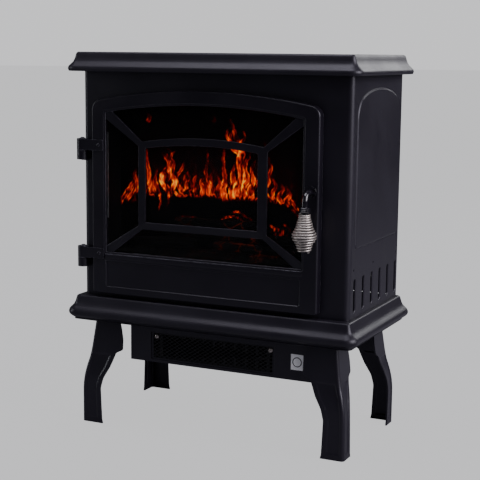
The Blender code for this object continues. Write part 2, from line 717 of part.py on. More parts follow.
def make_heating_element():
    left, right, bottom, top = HEATER_BLOCK
    outlines = [rectangle(left, right, bottom, top)]
    pitch = (right - left - 2 * HEATER_RIM) / HEATER_COLUMNS
    for low, high in HEATER_ROWS:
        for column in range(HEATER_COLUMNS):
            start = left + HEATER_RIM + column * pitch
            outlines.append(rectangle(start + HEATER_BAR / 2, start + pitch - HEATER_BAR / 2, low, high))
    plate("ptc_heater", outlines, depths(*HEATER_DEPTHS), "front", "heater_fins")
    floor = HOUSING[4] + THIN_SHEET + GAP
    place = (CUTOUT_PLACE[0], depth(CUTOUT_PLACE[1]), floor)
    turned("thermal_cutout", CUTOUT_PROFILE, place, "Z", "nylon", steps=16)


def make_door_frame():
    hole = arched(*WINDOW)
    bush_hole = circle(HANDLE_X, HANDLE_Z, 0.0067, ROUND_STEPS)
    outlines = [arched(*DOOR, radius=DOOR_CORNER, foot_radius=0.0030), hole, bush_hole]
    frame = plate("door_frame", outlines, depths(DOOR_FRONT, DOOR_BACK), "front", "door_coat")
    inside = arched(*grow(DOOR, -DOOR_WALL), radius=DOOR_CORNER - DOOR_WALL, foot_radius=0.0012)
    hollow = depths(DOOR_FRONT + DOOR_WALL, DOOR_BACK + 0.0050)
    cut(frame, plate("door_hollow", [inside], hollow, "front", collection=CUTTERS))


def mix(first, second, share):
    return first + (second - first) * share


def arch_height(shape, x):
    """Height of an arched shape's top edge at a place along it."""
    left, right, _, spring, apex = shape
    half = (right - left) / 2
    rise = apex - spring
    radius = (half * half + rise * rise) / (2 * rise)
    offset = x - (left + right) / 2
    return apex - radius + (radius * radius - offset * offset) ** 0.5


def under_arch(shape, first, last, steps=10):
    xs = [mix(first, last, step / steps) for step in range(steps + 1)]
    return [(x, arch_height(shape, x)) for x in xs]


def make_door_grille():
    """Window lattice: a framed arched rectangle held by four diagonal bars, cut from one plate."""
    rim = arched(*grow(WINDOW, GRILLE_RIM))
    left, right, bottom, spring, _ = WINDOW
    inner_left, inner_right, inner_bottom, inner_spring, _ = GRILLE_OUTER
    half = GRILLE_DIAGONAL / 2
    reach = 0.80 * half
    side_left = [
        (left, bottom + reach * 2), (inner_left, inner_bottom + half),
        (inner_left, inner_spring - half), (left, spring - reach * 2),
    ]
    side_right = [
        (inner_right, inner_bottom + half), (right, bottom + reach * 2),
        (right, spring - reach * 2), (inner_right, inner_spring - half),
    ]
    foot = [
        (left + half * 2, bottom), (right - half * 2, bottom),
        (inner_right - half, inner_bottom), (inner_left + half, inner_bottom),
    ]
    head = under_arch(GRILLE_OUTER, inner_left + half, inner_right - half)
    head += under_arch(WINDOW, right - half * 2, left + half * 2)
    outlines = [rim, arched(*GRILLE_INNER), side_left, side_right, foot, head]
    front = DOOR_FRONT + DOOR_WALL + GAP
    plate("door_grille", outlines, depths(front, front + GRILLE_THICKNESS), "front", "door_coat")


def make_glass():
    front = DOOR_FRONT + DOOR_WALL + GRILLE_THICKNESS + 2 * GAP
    back = front + GLASS_THICKNESS
    outline = arched(*grow(WINDOW, GLASS_MARGIN))
    plate("glass_pane", [outline], depths(front, back), "front", "glass")
    left = WINDOW[0] - GLASS_MARGIN
    bottom = WINDOW[2] - GLASS_MARGIN
    post = (DOOR_FRONT + DOOR_WALL + GAP, back + 0.0016)
    side_low, side_high = SIDE_CLIP_HEIGHTS
    foot_left, foot_right = BOTTOM_CLIP_ENDS
    clips = {
        "glass_clip_left": (
            (left - 0.0070, side_low), (left - GAP, side_high), (left + CLIP_OVERLAP, side_high),
        ),
        "glass_clip_bottom": (
            (foot_left, bottom - 0.0080), (foot_right, bottom - GAP), (foot_right, bottom + CLIP_OVERLAP),
        ),
    }
    for name, (low, post_high, tab_high) in clips.items():
        clip_low = (low[0], depth(post[0]), low[1])
        clip = box(name, clip_low, (post_high[0], depth(post[1]), post_high[1]), "galvanised")
        tab_low = (low[0], depth(back + GAP), low[1])
        tab_end = (tab_high[0], depth(post[1]), tab_high[1])
        unite(clip, box(f"{name}_tab", tab_low, tab_end, collection=CUTTERS))


def make_hinges():
    x, y = HINGE_AXIS[0], depth(HINGE_AXIS[1])
    for level, start in HINGE_HEIGHTS.items():
        low, high = start + GAP, start + STRAP_HEIGHT
        span = depths(DOOR_FRONT - 0.0022, DOOR_FRONT - GAP)
        outline = rectangle(x + 0.0011, STRAP_END_X, low + 0.0004, high - 0.0004, 0.0015, 2)
        strap = plate(f"hinge_strap_{level}", [outline], span, "front", "door_coat")
        unite(strap, bore(f"moving_knuckle_{level}", KNUCKLE_RADIUS, (low, high), (x, y, 0.0), "Z"))
        foot = start - FIXED_KNUCKLE_HEIGHT
        leaf_span = depths(-CASING_HALF_DEPTH - 0.0019, -CASING_HALF_DEPTH - GAP)
        outline = rectangle(x - 0.0036, x + 0.0145, foot - 0.0020, start - 0.0004, 0.0015, 2)
        leaf = plate(f"hinge_leaf_{level}", [outline], leaf_span, "front", "door_coat")
        unite(leaf, bore(f"fixed_knuckle_{level}", KNUCKLE_RADIUS, (foot, start), (x, y, 0.0), "Z"))
        for item, label in ((strap, "moving"), (leaf, "fixed")):
            reach = (foot - STRAP_HEIGHT, high + STRAP_HEIGHT)
            cut(item, bore(f"{label}_bore_{level}", HINGE_BORE_RADIUS, reach, (x, y, 0.0), "Z"))
        pin = HINGE_PIN_RADIUS
        profile = [
            (0.0, high + 0.0022), (0.0022, high + 0.0020), (0.0038, high + 0.0012), (0.0040, high + GAP),
            (pin, high + GAP), (pin, foot - 0.0010), (0.0, foot - 0.0010),
        ]
        turned(f"hinge_pin_{level}", profile, (x, y, 0.0), "Z", "door_coat")


def handle_route():
    """Middle line of the bent rod: through the door, round the bend and down inside the grip."""
    back = depth(-0.0962)
    front = depth(HANDLE_Y)
    points = [(HANDLE_X, back, HANDLE_Z)]
    for step in range(7):
        angle = pi / 2 * step / 6
        y = front + ROD_BEND - ROD_BEND * sin(angle)
        z = HANDLE_Z - ROD_BEND + ROD_BEND * cos(angle)
        points.append((HANDLE_X, y, z))
    points.append((HANDLE_X, front, ROD_LOWEST))
    return points


def make_handle():
    curve = bpy.data.curves.new("handle_route", "CURVE")
    curve.dimensions = "3D"
    curve.bevel_depth = ROD_RADIUS
    curve.bevel_resolution = 3
    curve.use_fill_caps = True
    route = handle_route()
    spline = curve.splines.new("POLY")
    spline.points.add(len(route) - 1)
    for point, place in zip(spline.points, route):
        point.co = (*place, 1.0)
    rod = bpy.data.objects.new("handle_rod", curve)
    bpy.data.collections[PARTS].objects.link(rod)
    set_finish(rod, "door_coat")

    front = depth(HANDLE_Y)
    outside = list(GRIP_OUTSIDE)
    inside = [(max(radius - GRIP_WALL, ROD_RADIUS + 0.0004), height) for radius, height in outside]
    profile = outside + list(reversed(inside))
    turned("spring_grip", profile, (HANDLE_X, front, 0.0), "Z", "bright_steel", closed=True)
    collar = [
        (0.0062, 0.3375), (0.0078, 0.3362), (0.0078, 0.3330), (0.0070, 0.3318), (0.0078, 0.3306),
        (0.0078, 0.3300), (ROD_RADIUS + GAP * 1.5, 0.3300), (ROD_RADIUS + GAP * 1.5, 0.3375),
    ]
    turned("handle_ferrule", collar, (HANDLE_X, front, 0.0), "Z", "door_coat", closed=True)

    hub = ROD_RADIUS + 0.0022
    reach = HANDLE_Z - TONGUE_LENGTH
    half = 0.0045
    outline = corner_arc(HANDLE_X, HANDLE_Z, hub, radians(-45), radians(225), 14)
    outline += [(HANDLE_X - half, reach + 0.0030), (HANDLE_X - half + 0.0020, reach)]
    outline += [(HANDLE_X + half - 0.0020, reach), (HANDLE_X + half, reach + 0.0030)]
    hole = circle(HANDLE_X, HANDLE_Z, ROD_RADIUS + GAP * 1.5, ROUND_STEPS)
    plate("latch_tongue", [outline, hole], depths(-0.0999, -0.0969), "front", "galvanised")
    bush_bore = ROD_RADIUS + 0.0004
    front_face = DOOR_FRONT - GAP
    bush = [
        (0.0085, front_face), (0.0085, front_face - 0.0015), (bush_bore, front_face - 0.0015),
        (bush_bore, -0.1100), (0.0064, -0.1100), (0.0064, front_face),
    ]
    bush = [(radius, depth(value)) for radius, value in bush]
    turned("latch_bush", bush, (HANDLE_X, 0.0, HANDLE_Z), "Y", "door_coat", closed=True)


def make_firebox():
    half = CASING_HALF_WIDTH - SHEET - 0.0005
    reach = CASING_HALF_DEPTH - SHEET - GAP
    shelf = rectangle(-half, half, *depths(-reach, reach), 0.0060)
    plate("firebox_shelf", [shelf], (SHELF, SHELF + THIN_SHEET), "top", "galvanised")
    left, right, bottom, top = FIREBOX
    outline = rectangle(left, right, bottom, top, 0.0030, 2)
    inner = rectangle(
        left + THIN_SHEET, right - THIN_SHEET, bottom + THIN_SHEET, top - THIN_SHEET, 0.0020, 2
    )
    plate("firebox_shell", [outline, inner], depths(*FIREBOX_DEPTHS), "front", "inner_black")
    screen = rectangle(left, right, bottom + GAP, top, 0.0020, 2)
    plate("flame_screen", [screen], depths(*SCREEN_DEPTHS), "front", "screen")


def make_flame_mask():
    """Reflector plate with flame-shaped openings, which shapes the light on the screen."""
    left, right, bottom, top = FIREBOX
    outlines = [rectangle(left, right, bottom + GAP, top)]
    pitch = (right - left - 2 * MASK_BORDER) / MASK_TONGUES
    for index in range(MASK_TONGUES):
        middle = left + MASK_BORDER + (index + 0.5) * pitch
        height = MASK_SHORTEST + MASK_EXTRA_HEIGHT * abs(sin(1.7 * index + 0.6))
        lean = MASK_LEAN * sin(2.3 * index)
        rising = []
        falling = []
        for step in range(MASK_STEPS + 1):
            level = step / MASK_STEPS
            swell = 0.65 + 0.7 * level * (1 - level)
            width = 0.40 * pitch * (1 - level) ** 0.6 * swell
            centre = middle + lean * level * 2
            z = MASK_TONGUE_FOOT + level * height
            rising.append((centre + width, z))
            if step < MASK_STEPS:
                falling.append((centre - width, z))
        outlines.append(rising + list(reversed(falling)))
    plate("flame_mask", outlines, depths(*MASK_DEPTHS), "front", "galvanised")


def make_ember_bed():
    """Low moulded heap of embers on the firebox floor."""
    left, right, front, rear, bottom, top = EMBER_BED
    shape = bmesh.new()
    middle = ((left + right) / 2, depth((front + rear) / 2), (bottom + top) / 2)
    size = Matrix.Diagonal((right - left, rear - front, top - bottom, 1.0))
    bmesh.ops.create_cube(shape, size=1.0, matrix=Matrix.Translation(middle) @ size)
    bmesh.ops.subdivide_edges(shape, edges=shape.edges, cuts=8, use_grid_fill=True)
    for vertex in shape.verts:
        inside = left < vertex.co.x - 0.0010 and vertex.co.x + 0.0010 < right
        inside = inside and depth(front) < vertex.co.y - 0.0010 and vertex.co.y + 0.0010 < depth(rear)
        if inside and vertex.co.z > top - 0.0001:
            wave = sin(95 * vertex.co.x) * cos(120 * vertex.co.y) + 0.5 * sin(211 * vertex.co.x + 1.0)
            vertex.co.z -= 0.0030 - 0.0019 * wave
    add_mesh("ember_bed", shape, "embers", smooth=True)


def make_log(name, start, end, radius, phase):
    """Moulded log: a thick rod with an uneven, slightly bent outline and blunt ends."""
    first = Vector((start[0], depth(start[1]), start[2]))
    last = Vector((end[0], depth(end[1]), end[2]))
    along = (last - first).normalized()
    across = along.cross(Vector((0.0, 0.0, 1.0))).normalized()
    upward = across.cross(along)
    sides = 12
    levels = (0.0, 0.02, 0.12, 0.25, 0.40, 0.55, 0.70, 0.85, 0.98, 1.0)
    rings = []
    for level in levels:
        end_taper = 0.80 if level in (0.0, 1.0) else 1.0
        ring_points = []
        for side in range(sides):
            angle = 2 * pi * side / sides
            swell = 0.90 + 0.07 * sin(3 * angle + phase + 5 * level) + 0.03 * sin(11 * level + phase)
            spoke = (cos(angle) * across + sin(angle) * upward) * radius * swell * end_taper
            ring_points.append(first.lerp(last, level) + spoke)
        rings.append(list(reversed(ring_points)))
    shape = loft(rings, True, True)
    bmesh.ops.recalc_face_normals(shape, faces=shape.faces)
    add_mesh(name, shape, "log_bark", smooth=True)


def make_flicker_drive():
    axis_y, axis_z = depth(ROTOR_AXIS[0]), ROTOR_AXIS[1]
    first, last = ROTOR_ENDS
    centre = (0.0, axis_y, axis_z)
    rotor = cylinder("flicker_rotor", ROTOR_RADIUS, (first, last), centre, "X", "bright_steel", steps=12)
    vanes = bmesh.new()
    pitch = (last - first - 2 * VANE_BORDER) / ROTOR_VANES
    for index in range(ROTOR_VANES):
        place = Matrix.Translation((first + VANE_START + (index + 0.5) * pitch, axis_y, axis_z))
        place @= Matrix.Rotation(VANE_TURN * index + VANE_FIRST_TURN, 4, "X")
        place @= Matrix.Rotation(VANE_SKEW, 4, "Z")
        place @= Matrix.Diagonal((*VANE_SIZE, 1.0))
        bmesh.ops.create_cube(vanes, size=1.0, matrix=place)
    unite(rotor, add_mesh("rotor_vanes", vanes, collection=CUTTERS))

    foot = SHELF + THIN_SHEET + GAP
    hole = circle(axis_y, axis_z, 0.0043, ROUND_STEPS)
    outline = rectangle(axis_y - 0.0140, axis_y + 0.0140, foot, axis_z + 0.0140, 0.0040)
    edge = first + 0.0040
    plate("rotor_bracket", [outline, hole], (edge, edge + THIN_SHEET), "side", "galvanised")
    bore_radius = ROTOR_RADIUS + 0.0004
    collar = [
        (0.0060, edge - GAP), (0.0060, edge - 0.0015), (bore_radius, edge - 0.0015),
        (bore_radius, edge + 0.0030), (0.0040, edge + 0.0030), (0.0040, edge - GAP),
    ]
    turned("rotor_bush", collar, centre, "X", "nylon", closed=True)

    edge = last - 0.0030
    outline = rectangle(axis_y - 0.0252, axis_y + 0.0252, foot, axis_z + 0.0252, 0.0040)
    hole = circle(axis_y, axis_z, 0.0030, ROUND_STEPS)
    plate("motor_bracket", [outline, hole], (edge, edge + THIN_SHEET), "side", "galvanised")
    face = last + GAP
    profile = [
        (0.0, face + 0.0160), (0.0230, face + 0.0160), (0.0240, face + 0.0150), (0.0240, face + 0.0010),
        (0.0230, face), (0.0, face),
    ]
    turned("flame_motor", profile, centre, "X", "galvanised")
    left, right = BOARD_ENDS
    outline = rectangle(left, right, axis_y - BOARD_HALF_WIDTH, axis_y + BOARD_HALF_WIDTH)
    level = foot + BOARD_HEIGHT
    board = plate("led_board", [outline], (level, level + BOARD_THICKNESS), "top", "board")
    span = (foot, level + 0.0005)
    for index, x in enumerate(BOARD_POST_X):
        name = f"board_post_{index}"
        place = (x, axis_y, 0.0)
        post = cylinder(name, BOARD_POST_RADIUS, span, place, "Z", collection=CUTTERS, steps=12)
        unite(board, post)


def make_controls():
    rear = CASING_HALF_DEPTH
    outlines = [rectangle(*BEZEL, 0.0040)]
    for x in ROCKER_X.values():
        half_x, half_z = ROCKER_HOLE
        outlines.append(rectangle(x - half_x, x + half_x, ROCKER_Z - half_z, ROCKER_Z + half_z, 0.0008, 2))
    outlines.append(circle(KNOB_X, ROCKER_Z, KNOB_SPINDLE_RADIUS + SHAFT_CLEARANCE, ROUND_STEPS))
    bezel_back = rear + GAP
    bezel_face = bezel_back + BEZEL_THICKNESS
    plate("switch_bezel", outlines, depths(bezel_back, bezel_face), "front", "black_plastic")

    margin_left, margin_right, margin_z = SWITCH_BLOCK_MARGINS
    left, right = min(ROCKER_X.values()) - margin_left, max(ROCKER_X.values()) + margin_right
    shape = bmesh.new()
    low = Vector((left, depth(SWITCH_BLOCK_FRONT), ROCKER_Z - margin_z))
    high = Vector((right, depth(rear), ROCKER_Z + margin_z))
    place = Matrix.Translation((low + high) / 2) @ Matrix.Diagonal((*(high - low), 1.0))
    bmesh.ops.create_cube(shape, size=1.0, matrix=place)
    mouth = max(shape.faces, key=lambda face: face.calc_center_median().y)
    bmesh.ops.delete(shape, geom=[mouth], context="FACES_ONLY")
    block = add_mesh("switch_block", shape, "black_plastic")
    wall = block.modifiers.new("wall", "SOLIDIFY")
    wall.thickness = THIN_SHEET
    wall.offset = -1.0
    wall.use_even_offset = True

    pivot_y = depth(rear - ROCKER_PIVOT_INSET)
    for name, x in ROCKER_X.items():
        axis = bpy.data.objects.new(f"{name}_axis", None)
        axis.location = (x, pivot_y, ROCKER_Z)
        bpy.data.collections[PARTS].objects.link(axis)
        half = ROCKER_WIDTH / 2
        slot = "red_rocker" if name == "rocker_flame" else "black_plastic"
        rocker = plate(name, [ROCKER_SECTION], (-half, half), "side", slot)
        rocker.parent = axis
        rocker.rotation_euler = (ROCKER_TILT, 0.0, 0.0)

    shoulder = bezel_face + GAP
    spindle = KNOB_SPINDLE_RADIUS
    profile = [
        (0.0, shoulder + 0.0074), (0.0085, shoulder + 0.0074), (0.0095, shoulder + 0.0064),
        (0.0110, shoulder), (spindle, shoulder), (spindle, rear + GAP), (0.0, rear + GAP),
    ]
    profile = [(radius, depth(value)) for radius, value in profile]
    knob = turned("thermostat_knob", profile, (KNOB_X, 0.0, ROCKER_Z), "Y", "black_plastic")
    pointer_low = (KNOB_X - 0.0011, depth(shoulder + 0.0010), ROCKER_Z + 0.0070)
    pointer_high = (KNOB_X + 0.0011, depth(shoulder + 0.0070), ROCKER_Z + 0.0124)
    unite(knob, box("knob_pointer", pointer_low, pointer_high, collection=CUTTERS))
    body = [(radius, depth(value)) for radius, value in THERMOSTAT_BODY]
    turned("thermostat_body", body, (KNOB_X, 0.0, ROCKER_Z), "Y", "nylon")

    gland = [
        (0.0060, rear - 0.0080), (0.0060, rear + GAP), (0.0095, rear + GAP), (0.0095, rear + 0.0020),
        (0.0070, rear + 0.0065), (0.0038, rear + 0.0065), (0.0038, rear - 0.0080),
    ]
    gland = [(radius, depth(value)) for radius, value in reversed(gland)]
    origin = (GLAND_PLACE[0], 0.0, GLAND_PLACE[1])
    turned("power_gland", gland, origin, "Y", "black_plastic", closed=True)


def hang_on(axis_name, location, names):
    """Parent pieces to an empty on their joint's axis, without moving them."""
    axis = bpy.data.objects.new(axis_name, None)
    axis.location = location
    bpy.data.collections[PARTS].objects.link(axis)
    for name in names:
        item = bpy.data.objects[name]
        item.parent = axis
        item.matrix_parent_inverse = Matrix.Translation(location).inverted()
    return axis


def group_moving_pieces():
    door_axis = (HINGE_AXIS[0], depth(HINGE_AXIS[1]), 0.3360)
    door = ["door_frame", "door_grille", "glass_pane", "glass_clip_left", "glass_clip_bottom", "latch_bush"]
    door += ["hinge_strap_lower", "hinge_strap_upper"]
    hang_on("door_axis", door_axis, door)
    handle_axis = (HANDLE_X, depth(DOOR_FRONT), HANDLE_Z)
    hang_on("handle_axis", handle_axis, ["handle_rod", "handle_ferrule", "spring_grip", "latch_tongue"])
    hang_on("flicker_axis", (0.0, depth(ROTOR_AXIS[0]), ROTOR_AXIS[1]), ["flicker_rotor"])
    hang_on("blower_axis", (0.0, depth(BLOWER_AXIS[0]), BLOWER_AXIS[1]), ["blower_wheel"])
    hang_on("thermostat_axis", (KNOB_X, depth(CASING_HALF_DEPTH), ROCKER_Z), ["thermostat_knob"])


def main():
    clear_scene()
    new_collection(PARTS)
    new_collection(CUTTERS)
    make_top_and_base()
    make_front_panel()
    make_side_panels()
    make_rear_panel()
    make_legs()
    make_heater_housing()
    make_outlet_grille()
    make_blower()
    make_heating_element()
    make_door_frame()
    make_door_grille()
    make_glass()
    make_hinges()
    make_handle()
    make_firebox()
    make_flame_mask()
    make_ember_bed()
    for name, (start, end, radius, phase) in LOGS.items():
        make_log(name, start, end, radius, phase)
    make_flicker_drive()
    make_controls()
    group_moving_pieces()


main()
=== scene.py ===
"""Looks of a free-standing electric stove heater: black moulded casing, arched glass door, flame effect."""

import json
from math import asin, atan2, cos, hypot, pi, radians, sin, tan

import bmesh
import bpy
import numpy as np
from bpy.props import FloatProperty, FloatVectorProperty, PointerProperty
from mathutils import Matrix, Vector, noise


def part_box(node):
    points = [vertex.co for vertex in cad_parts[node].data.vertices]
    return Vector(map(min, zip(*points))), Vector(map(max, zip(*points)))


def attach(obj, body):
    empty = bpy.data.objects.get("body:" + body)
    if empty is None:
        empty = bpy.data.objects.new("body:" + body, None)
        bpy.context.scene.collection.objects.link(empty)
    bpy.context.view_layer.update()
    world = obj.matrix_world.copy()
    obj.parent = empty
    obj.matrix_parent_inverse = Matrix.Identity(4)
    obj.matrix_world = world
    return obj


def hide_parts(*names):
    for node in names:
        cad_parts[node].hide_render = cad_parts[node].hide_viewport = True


bl_info = {
    "name": "Electric Stove Heater",
    "version": (1, 0, 0),
    "blender": (4, 5, 0),
    "location": "View3D > Sidebar > Stove",
    "description": "Builds the finished look of a free-standing electric stove heater",
    "category": "Object",
}

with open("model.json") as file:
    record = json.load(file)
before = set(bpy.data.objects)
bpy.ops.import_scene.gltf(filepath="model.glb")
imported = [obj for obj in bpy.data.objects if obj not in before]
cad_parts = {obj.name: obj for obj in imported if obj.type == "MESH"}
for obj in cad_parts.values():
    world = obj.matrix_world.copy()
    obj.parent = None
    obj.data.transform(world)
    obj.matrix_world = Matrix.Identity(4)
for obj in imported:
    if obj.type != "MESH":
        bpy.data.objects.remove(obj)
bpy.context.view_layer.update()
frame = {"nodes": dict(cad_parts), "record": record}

CABINET = "cabinet"
DOOR = "door"
HANDLE = "handle"
GAP = 0.0003
MM = 0.001
MERGE = 0.00001
SHARP = radians(38)


# ---------------------------------------------------------------- places taken from the frame


def middle_of(node):
    low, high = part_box(node)
    return (low + high) / 2


def casing_middle_y():
    """Depth of the casing's middle, half way between its front and its rear sheets."""
    return (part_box("front_panel")[0].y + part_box("rear_panel")[1].y) / 2


CASING_Y = casing_middle_y()


def depth(value):
    """World Y of a depth given from the middle of the casing."""
    return CASING_Y + value


# ---------------------------------------------------------------- outlines


def fillet(points, radii, steps=6):
    """Round the corners of a closed outline."""
    outline = []
    count = len(points)
    for index, radius in enumerate(radii):
        corner = Vector(points[index])
        before = (Vector(points[index - 1]) - corner).normalized()
        after = (Vector(points[(index + 1) % count]) - corner).normalized()
        if radius == 0:
            outline.append(tuple(corner))
            continue
        reach = radius / tan(before.angle(after) / 2)
        middle = corner + (before + after).normalized() * hypot(radius, reach)
        start = corner + before * reach - middle
        turn = start.angle_signed(corner + after * reach - middle)
        for step in range(steps + 1):
            spoke = Matrix.Rotation(-turn * step / steps, 2) @ start
            outline.append(tuple(middle + spoke))
    return outline


def rectangle(left, right, bottom, top, radius=0.0, steps=6):
    corners = [(left, bottom), (right, bottom), (right, top), (left, top)]
    return fillet(corners, [radius] * 4, steps)


def arched(left, right, bottom, spring, apex, radius=0.0, foot=0.0, skip=0, steps=32, round_steps=8):
    """Outline with a straight foot and a shallow arch; skip drops arch points where a corner is rounded."""
    half = (right - left) / 2
    rise = apex - spring
    big = (half * half + rise * rise) / (2 * rise)
    spread = asin(half / big)
    angles = [spread - 2 * spread * step / steps for step in range(steps + 1)]
    arch = [((left + right) / 2 + big * sin(angle), apex - big + big * cos(angle)) for angle in angles]
    arch = [arch[0], *arch[1 + skip:len(arch) - 1 - skip], arch[-1]]
    radii = [foot, foot, radius, *[0.0] * (len(arch) - 2), radius]
    return fillet([(left, bottom), (right, bottom), *arch], radii, round_steps)


def grow(shape, margin):
    """The sizes of an arched or straight outline, grown outwards by a margin."""
    signs = (-1, 1, -1, 1, 1)
    return tuple(value + sign * margin for value, sign in zip(shape, signs))


def circle(x, y, radius, steps=32):
    angles = [2 * pi * step / steps for step in range(steps)]
    return [(x + radius * cos(angle), y + radius * sin(angle)) for angle in angles]


def at_height(outline, height):
    return [(x, y, height) for x, y in outline]


def smooth_line(points, steps):
    """A denser line through the same points, without corners."""
    points = [Vector(point) for point in points]
    dense = []
    for index in range(len(points) - 1):
        before = points[max(index - 1, 0)]
        first, second = points[index], points[index + 1]
        after = points[min(index + 2, len(points) - 1)]
        for step in range(steps):
            t = step / steps
            pull = (second - before) * t + (2 * before - 5 * first + 4 * second - after) * t * t
            pull += (3 * first - before - 3 * second + after) * t * t * t
            dense.append(first + pull / 2)
    dense.append(points[-1])
    return dense


# ---------------------------------------------------------------- meshes


def front_view(y):
    """Place of a drawing whose X and Y become world X and Z, facing the viewer in front."""
    return Matrix.Translation((0, y, 0)) @ Matrix.Rotation(pi / 2, 4, "X")


def side_view(x):
    """Place of a drawing whose X and Y become world Y and Z, facing +X."""
    return Matrix.Translation((x, 0, 0)) @ Matrix.Rotation(pi / 2, 4, "Z") @ Matrix.Rotation(pi / 2, 4, "X")


def rear_view(y):
    """Place of a drawing whose X and Y become world -X and Z, facing backwards."""
    return Matrix.Translation((0, y, 0)) @ Matrix.Rotation(pi, 4, "Z") @ Matrix.Rotation(pi / 2, 4, "X")


def new_object(name, mesh):
    item = bpy.data.objects.new(name, mesh)
    bpy.context.scene.collection.objects.link(item)
    return item


def mesh_from(shape, name, smooth=True):
    mesh = bpy.data.meshes.new(name)
    shape.to_mesh(mesh)
    shape.free()
    if not smooth:
        return mesh
    shade(mesh)
    return weighted(mesh)


def shade(mesh):
    mesh.shade_smooth()
    mesh.set_sharp_from_angle(angle=SHARP)


def weighted(mesh):
    """The same mesh with its large flat faces shaded flat right up to their rounded edges."""
    item = new_object(mesh.name, mesh)
    modifier = item.modifiers.new("weigh", "WEIGHTED_NORMAL")
    modifier.keep_sharp = True
    return settle(item, mesh.name)


def settle(item, name):
    """The object's evaluated mesh, as a plain object of its own."""
    view = bpy.context.evaluated_depsgraph_get()
    mesh = bpy.data.meshes.new_from_object(item.evaluated_get(view), depsgraph=view)
    mesh.transform(item.matrix_world)
    old = item.data
    bpy.data.objects.remove(item, do_unlink=True)
    if old.users == 0 and isinstance(old, bpy.types.Mesh):
        bpy.data.meshes.remove(old)
    mesh.name = name
    return mesh


def with_modifiers(shape, *modifiers):
    """A mesh from a bmesh with modifiers applied, each given as (kind, settings)."""
    item = new_object("work", mesh_from(shape, "work", smooth=False))
    for kind, settings in modifiers:
        modifier = item.modifiers.new(kind.lower(), kind)
        for key, value in settings.items():
            setattr(modifier, key, value)
    mesh = settle(item, "worked")
    result = bmesh.new()
    result.from_mesh(mesh)
    bpy.data.meshes.remove(mesh)
    return result


def wall(thickness):
    return "SOLIDIFY", {"thickness": thickness, "offset": -1.0, "use_even_offset": False}


def soft_edges(width, segments=2, angle=30):
    return "BEVEL", {
        "width": width, "segments": segments, "limit_method": "ANGLE", "angle_limit": radians(angle),
        "use_clamp_overlap": True, "miter_outer": "MITER_ARC",
    }


def finish_piece(name, mesh, material, body, replaces=()):
    """Show a mesh as one piece of the object: its material, the body it rides on and what it stands for."""
    mesh.name = name
    mesh.materials.clear()
    mesh.materials.append(MATERIALS[material])
    item = new_object(name, mesh)
    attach(item, body)
    if replaces:
        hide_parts(*replaces)
    return item


def loft(rings, cap_first=False, cap_last=False, closed=True):
    """Join rings of points, each with the same count."""
    shape = bmesh.new()
    add_loft(shape, rings, cap_first, cap_last, closed)
    return shape


def add_loft(shape, rings, cap_first=False, cap_last=False, closed=True):
    rows = [[shape.verts.new(point) for point in row] for row in rings]
    count = len(rows[0])
    for lower, upper in zip(rows, rows[1:]):
        for index in range(count if closed else count - 1):
            following = (index + 1) % count
            shape.faces.new((lower[index], lower[following], upper[following], upper[index]))
    if cap_first:
        shape.faces.new(list(reversed(rows[0])))
    if cap_last:
        shape.faces.new(rows[-1])
    return rows


def pressed_sheet(edge, features):
    """A sheet facing +Z: rings run outwards from its flat face, and each feature is (rings, filled)."""
    shape = bmesh.new()
    bounds = []
    for rings, filled in [(edge, False), *features]:
        rows = add_loft(shape, rings)
        first = rows[0]
        for index, vertex in enumerate(first):
            following = first[(index + 1) % len(first)]
            bounds.append(shape.edges.get((vertex, following)) or shape.edges.new((vertex, following)))
        if filled:
            shape.faces.new(rows[-1])
    flat = bmesh.ops.triangle_fill(shape, use_beauty=True, edges=bounds, normal=(0, 0, 1))
    faces = [item for item in flat["geom"] if isinstance(item, bmesh.types.BMFace)]
    bmesh.ops.recalc_face_normals(shape, faces=shape.faces)
    if faces[0].normal.z < 0:
        bmesh.ops.reverse_faces(shape, faces=shape.faces)
    return shape


def plate(outlines, low, high, place):
    """A flat piece between two heights. Outlines after the first are holes."""
    rows = [[at_height(outline, high), at_height(outline, low)] for outline in outlines]
    shape = pressed_sheet(rows[0], [(pair, False) for pair in rows[1:]])
    holes = [([at_height(outline, low)], False) for outline in outlines[1:]]
    back = pressed_sheet([at_height(outlines[0], low)], holes)
    bmesh.ops.reverse_faces(back, faces=back.faces)
    other = mesh_from(back, "back", smooth=False)
    shape.from_mesh(other)
    bpy.data.meshes.remove(other)
    bmesh.ops.remove_doubles(shape, verts=shape.verts, dist=MERGE)
    shape.transform(place)
    return shape


def turned(profile, place, steps=48, closed=False):
    """A turned shape about the place's Z axis, from (radius, height) down its outer side."""
    shape = bmesh.new()
    rings = []
    for radius, height in profile:
        radius = max(radius, 0.000001)
        rings.append([(*spoke, height) for spoke in circle(0.0, 0.0, radius, steps)])
    if closed:
        rings.append(rings[0])
    add_loft(shape, rings)
    bmesh.ops.remove_doubles(shape, verts=shape.verts, dist=0.000004)
    bmesh.ops.recalc_face_normals(shape, faces=shape.faces)
    shape.transform(place)
    return shape


def refined(node, bevel, segments=2, angle=30):
    """A copy of a CAD piece with its points merged, its flat faces joined and its edges softened."""
    shape = bmesh.new()
    shape.from_mesh(frame["nodes"][node].data)
    bmesh.ops.remove_doubles(shape, verts=shape.verts, dist=MERGE)
    bmesh.ops.dissolve_limit(
        shape, angle_limit=radians(0.5), verts=shape.verts, edges=shape.edges, use_dissolve_boundaries=False
    )
    return with_modifiers(shape, soft_edges(bevel, segments, angle))


def soften(node, bevel, name, material, body, segments=2):
    """Show a CAD piece with its edges softened, in place of its node."""
    mesh = mesh_from(refined(node, bevel, segments), name)
    finish_piece(name, mesh, material, body, [node])


